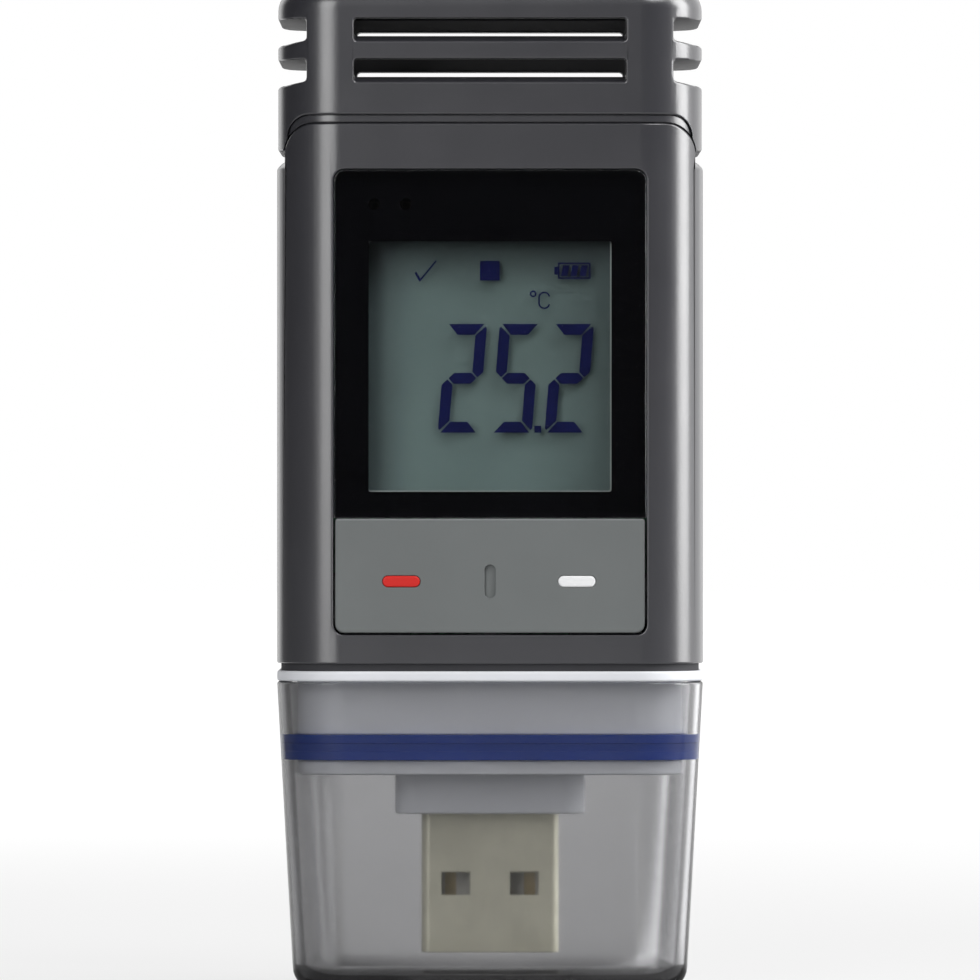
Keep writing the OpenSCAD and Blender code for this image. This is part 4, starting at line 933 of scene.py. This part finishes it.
bm = round_plate(KEY_HALF, KEY_HALF_TALL, 0.8, KEY_THICK, 8, "lower")
upright = [e for e in bm.edges if abs(e.verts[0].co.z - e.verts[1].co.z) > 1]
bevel(bm, [e for e in upright if e.verts[0].co.y > KEY_HALF_TALL - 0.06], 0.25, 4)
bevel(bm, top_edges(bm, KEY_THICK - 0.1), 0.16, 4)
face_front(bm, (0, -10.3, 36.19))
key = new_piece("key_plate", bm)
for x in INLAYS.values():
    cut(key, facing("inlay seat", 1.67, 35.19, 36.23, 0.515, OUTSIDE, -11.6, x=x))
cut(key, facing("groove", 0.475, 34.24, 37.16, 0.474, OUTSIDE, -11.55))
join(key, standing("barrel", 1.1, 1.1, 1.099, BARREL_LOW, BARREL_HIGH, AXLE_Y, 8))
join(key, box("neck", (-0.5, -10.7, BARREL_LOW), (0.5, AXLE_Y, BARREL_HIGH)))
join(key, standing("axle", 0.5, 0.5, 0.4995, BARREL_LOW - 1, BARREL_HIGH + 1, AXLE_Y, 6))
for side in (-1, 1):
    join(key, bar("foot", 1.0, side * 7.7, 35.7, -10.7, -6.05, 24))
settle(key, "rocker", "key_plastic", ["rocker_key"], 0.05, whole=True)

# %% [markdown]
# ## Inlays of the key
# The two marks are moulded in a second colour and fill their seats. Cooling leaves
# them slightly domed, so each one gets a wide soft edge and stands two hundredths
# of a millimetre proud.

# %% Red and white inlay
INLAY_THICK = 0.3

for colour, x in INLAYS.items():
    bm = round_plate(1.64, 0.5, 0.49, INLAY_THICK, 8)
    bevel(bm, top_edges(bm, INLAY_THICK - 0.1), 0.16, 4)
    face_front(bm, (x, -11.62, 35.71))
    settle(new_piece(colour + "_inlay_mark", bm), "rocker", colour + "_inlay", [colour + "_mark"], 0)

# %% [markdown]
# ## Base of the plug
# A white moulding closes the casing from below. Its flange shows as a bright line,
# a wide spigot carries the plug cap and a blue seal, and a small collar holds the
# plug. Each step is a block joined to the last, and the groove and the hollow are
# cut as a lathe or a mill would.

# %% Base moulding
FLANGE_LOW, FLANGE_HIGH = 27.0, 27.9
GROOVE_LOW, GROOVE_HIGH = 20.17, 22.37
PLUG_Y = -2.35


def groove_core():
    """What is left of the spigot inside its groove"""
    return standing("core", 16.1, 9.5, 3.7, 19, 23)


base = inset_block("base_moulding", 0, FLANGE_LOW, FLANGE_HIGH)
join(base, standing("spigot", 16.82, 10.22, 4.4, 18.87, 27.4))
join(base, standing("collar", 8.3, 4.6, 1.9, 15.37, 19.2, PLUG_Y, 8))
join(base, standing("plug in the casing", 16.8, 10.2, 3.8, 27.5, 30.9))
cut(base, standing("hollow", 15.2, 8.6, 2.8, 20.47, FLANGE_HIGH))
cut(base, standing("upper hollow", 15.6, 9.0, 2.6, 27.5, 32))
cut(base, box("room for the key's axle", (-2.2, -12, CASING_LOW), (2.2, -7.7, 32)))
groove = standing("groove", 18.0, 11.4, 5.6, GROOVE_LOW, GROOVE_HIGH)
cut(base, cut(groove, groove_core()))
cut(base, standing("plug room", 6.0, 2.25, 0.6, 14, 22, PLUG_Y, 4))
settle(base, "housing", "base_plastic", ["connector_base"], 0.2, whole=True)

# %% [markdown]
# ## Seal ring
# The seal is a soft blue ring in the spigot's groove, with a low rib at its upper and
# lower edge that presses against the cap. Soft rubber takes the cap's shape, so the
# ring is a little larger than the room it has, as the real one is before it goes in.

# %% Seal ring
RIB_TALL = 0.75

seal = standing("seal_ring", 17.24, 10.64, 4.71, GROOVE_LOW, GROOVE_HIGH)
for z0, z1 in ((GROOVE_LOW, GROOVE_LOW + RIB_TALL), (GROOVE_HIGH - RIB_TALL, GROOVE_HIGH)):
    join(seal, standing("rib", 17.33, 10.73, 4.8, z0, z1))
cut(seal, groove_core())
settle(seal, "housing", "seal_blue", ["cap_seal"], 0.04, whole=True)

# %% [markdown]
# ## Plug shell
# The plug's shell is folded from thin sheet steel. Two windows in each wide side take
# the socket's springs, and the sheet's two ends meet in a fine seam at the back.
# Cutting a tube out of a block and then the windows keeps the sheet's thickness exact.

# %% Plug shell
PLUG_HALF_W, PLUG_HALF_D, SHEET = 6.0, 2.25, 0.3
SPRING_X, SPRING_HALF = 3, 1.25

shell = standing("plug_shell", PLUG_HALF_W, PLUG_HALF_D, 0.75, 3.17, 23.97, PLUG_Y, 8)
cut(shell, standing("bore", PLUG_HALF_W - SHEET, PLUG_HALF_D - SHEET, 0.75 - SHEET, 2, 25, PLUG_Y, 6))
for x in (-SPRING_X, SPRING_X):
    cut(shell, box("spring window", (x - SPRING_HALF, -6, 8.19), (x + SPRING_HALF, 1, 10.19)))
cut(shell, box("sheet seam", (-0.03, -0.5, 2), (0.03, 1, 25)))
settle(shell, "housing", "plug_steel", ["usb_shell"], 0.08)

# %% [markdown]
# ## White that only some rays see
# A glossy edge or a clear cap shows where a studio is bright. White cards would do
# it, but they would be seen too and cast light. So the white depends on the ray's
# direction. Mirrored rays see it behind the logger and to the right, but not
# straight behind. Rays through clear pieces see a wall at the right rear with a
# brighter card in it.

# %% Directions of white
MIRRORED_SIDE, THROUGH_SIDE, CARD_SIDE = (0.342, 0.940, 0.0), (0.574, 0.819, 0.0), (0.469, 0.883, 0.0)
STRAIGHT_BEHIND = (0, 1, 0)
WALL_EDGE, CARD_EDGE = (0.48, 0.79), (0.952, 0.988)
MIRRORED_EDGE, STRAIGHT_EDGE = (0.3, 0.6), (0.985, 0.951)
CARD_LIGHT = 2.0


def vector_sums(tree, operation, first, second=None, result="Vector"):
    """Vector math node on one or two vectors"""
    made = node(tree, "ShaderNodeVectorMath", operation=operation)
    feed(tree, first, made.inputs[0])
    if second is not None:
        feed(tree, second, made.inputs[1])
    return made.outputs[result]


def near_to(tree, direction, axis, edge, light=1.0):
    """Light near a direction: none at the first cosine of its edge, all at the second"""
    cosine = vector_sums(tree, "DOT_PRODUCT", direction, axis, "Value")
    return ramp(tree, cosine, *edge, 0.0, light)


def white_of_rays(tree, direction, path):
    """White for rays through glass and for reflections, each from its own part of the studio"""
    wall = near_to(tree, direction, THROUGH_SIDE, WALL_EDGE)
    card = near_to(tree, direction, CARD_SIDE, CARD_EDGE, CARD_LIGHT)
    through = sums(tree, "MULTIPLY", path["Is Transmission Ray"], sums(tree, "ADD", wall, card))
    beside = sums(tree, "MULTIPLY", near_to(tree, direction, MIRRORED_SIDE, MIRRORED_EDGE),
                  near_to(tree, direction, STRAIGHT_BEHIND, STRAIGHT_EDGE))
    return sums(tree, "MAXIMUM", through, sums(tree, "MULTIPLY", path["Is Glossy Ray"], beside))


print("white directions ready")

# %% [markdown]
# ## Floor
# The logger stands on a plain pale floor. A photographer lights such a floor until
# it is white. Here Light Path makes it glow white for the camera, so no extra light
# falls on the logger. Close to the logger a part of its real shading stays, which
# keeps the shadow. Mirrored rays and rays through glass also see it glow, but only
# behind the logger and in the directions above.

# %% Floor
FLOOR_HALF = 3000
FRONT_OF_LOGGER = 40
REAR_START, REAR_END = -20, 40
SHADOW_NEAR, SHADOW_FAR, SHADOW_WHITE = 60, 500, 0.75
GLOW = 1.05

bm = bmesh.new()
bmesh.ops.create_grid(bm, x_segments=1, y_segments=1, size=FLOOR_HALF)
floor = new_piece("floor", bm)
floor.data.transform(Matrix.Scale(MM, 4))
tree, shader, spot = start_material("pale floor")
shader.inputs["Base Color"].default_value = (0.5, 0.5, 0.5, 1)
shader.inputs["Roughness"].default_value = 0.9
path = node(tree, "ShaderNodeLightPath").outputs
axes = node(tree, "ShaderNodeSeparateXYZ")
feed(tree, spot, axes.inputs["Vector"])
rear = ramp(tree, axes.outputs["Y"], REAR_START * MM, REAR_END * MM, 0.0, 1.0)
from_front = vector_sums(tree, "ADD", spot, (0, FRONT_OF_LOGGER * MM, 0))
bounced = white_of_rays(tree, vector_sums(tree, "NORMALIZE", from_front), path)
seen = sums(tree, "MAXIMUM", path["Is Camera Ray"], bounced)
away = vector_sums(tree, "LENGTH", spot, result="Value")
whiteness = ramp(tree, away, SHADOW_NEAR * MM, SHADOW_FAR * MM, SHADOW_WHITE, 1.0)
glow = node(tree, "ShaderNodeEmission", Color=(1, 1, 1, 1))
bright = sums(tree, "MAXIMUM", path["Is Camera Ray"], sums(tree, "MULTIPLY", bounced, rear))
feed(tree, sums(tree, "MULTIPLY", bright, GLOW), glow.inputs["Strength"])
show_either(tree, sums(tree, "MULTIPLY", seen, whiteness), shader.outputs["BSDF"], glow.outputs["Emission"])
floor.data.materials.append(FINISH["pale floor"])
print("floor made")

# %% [markdown]
# ## Surroundings
# The studio's far end is white and its near end, where the photographer stands, is
# dark. That is why the window looks black and the casing's corners have a bright
# rim. The world is white to the camera, and to mirrored rays and rays through glass
# in the directions above. Diffuse rays get a dim even grey that fills the shadows,
# and all other rays see it nearly black.

# %% World
SHADOW_FILL, NEAR_BLACK = 0.08, 0.015

world = bpy.data.worlds.new("studio")
bpy.context.scene.world = world
world.use_nodes = True
tree = world.node_tree
ground = tree.nodes["Background"]
aim = node(tree, "ShaderNodeTexCoord")
path = node(tree, "ShaderNodeLightPath").outputs
white = sums(tree, "MAXIMUM", path["Is Camera Ray"], white_of_rays(tree, aim.outputs["Generated"], path))
dim = sums(tree, "MAXIMUM", sums(tree, "MULTIPLY", path["Is Diffuse Ray"], SHADOW_FILL), NEAR_BLACK)
feed(tree, sums(tree, "MAXIMUM", white, dim), ground.inputs["Strength"])
ground.inputs["Color"].default_value = (1, 1, 1, 1)
print("world made")

# %% [markdown]
# ## Lamps
# Three soft boxes light the logger. The one in front on the left makes the broad
# pale band beside the left corner and lights the face. The one at the right is seen
# only by the right corner, as a thin bright line. The one above lights the tops of
# the edges. A small weak card behind the logger on the right brightens the edges on
# that side, and is kept out of reflections, where it would show as a spot.

# %% Lamps
AIM_HEIGHT = 0.05


def soft_box(name, azimuth, height, distance, wide, tall, power):
    """Area lamp aimed at the logger's middle; azimuth counts from the camera to the right"""
    turn = math.radians(azimuth)
    place = Vector((math.sin(turn) * distance, -math.cos(turn) * distance, height))
    data = bpy.data.lights.new(name, "AREA")
    data.shape = "RECTANGLE"
    data.size, data.size_y, data.energy = wide, tall, power
    lamp = bpy.data.objects.new(name, data)
    lamp.location = place
    lamp.rotation_mode = "QUATERNION"
    lamp.rotation_quaternion = (Vector((0, 0, AIM_HEIGHT)) - place).to_track_quat("-Z", "Y")
    lamp.visible_camera = False
    bpy.context.scene.collection.objects.link(lamp)
    return lamp


soft_box("left front box", azimuth=-26, height=0.4, distance=1.0, wide=0.46, tall=0.84, power=5.0)
soft_box("right box", azimuth=87, height=0.4, distance=1.0, wide=0.5, tall=0.84, power=11.0)
soft_box("top front box", azimuth=40, height=1.0, distance=0.75, wide=0.6, tall=0.45, power=6.0)
card = soft_box("back right card", azimuth=150, height=0.125, distance=0.3, wide=0.15, tall=0.25, power=0.25)
card.visible_glossy = False
print("lamps:", len(bpy.data.lights))

# %% [markdown]
# ## Camera
# The photograph was taken straight on with a long lens: the edges of the slots hardly
# shift between front and back. A distance of 780 mm to the logger's middle and a lens
# of 325 mm give that.

# %% Camera
CAMERA_DISTANCE, CAMERA_HEIGHT = 0.78, 0.04365

camera_data = bpy.data.cameras.new("camera")
camera_data.lens = 325.0
camera_data.sensor_width = 36.0
camera_data.clip_start = 0.05
camera_data.clip_end = 20.0
camera = bpy.data.objects.new("camera", camera_data)
camera.location = (0, -CAMERA_DISTANCE, CAMERA_HEIGHT)
camera.rotation_euler = (math.radians(90), 0, 0)
bpy.context.scene.collection.objects.link(camera)
bpy.context.scene.camera = camera
bpy.context.scene.view_settings.view_transform = "Standard"
print("camera at", tuple(camera.location))
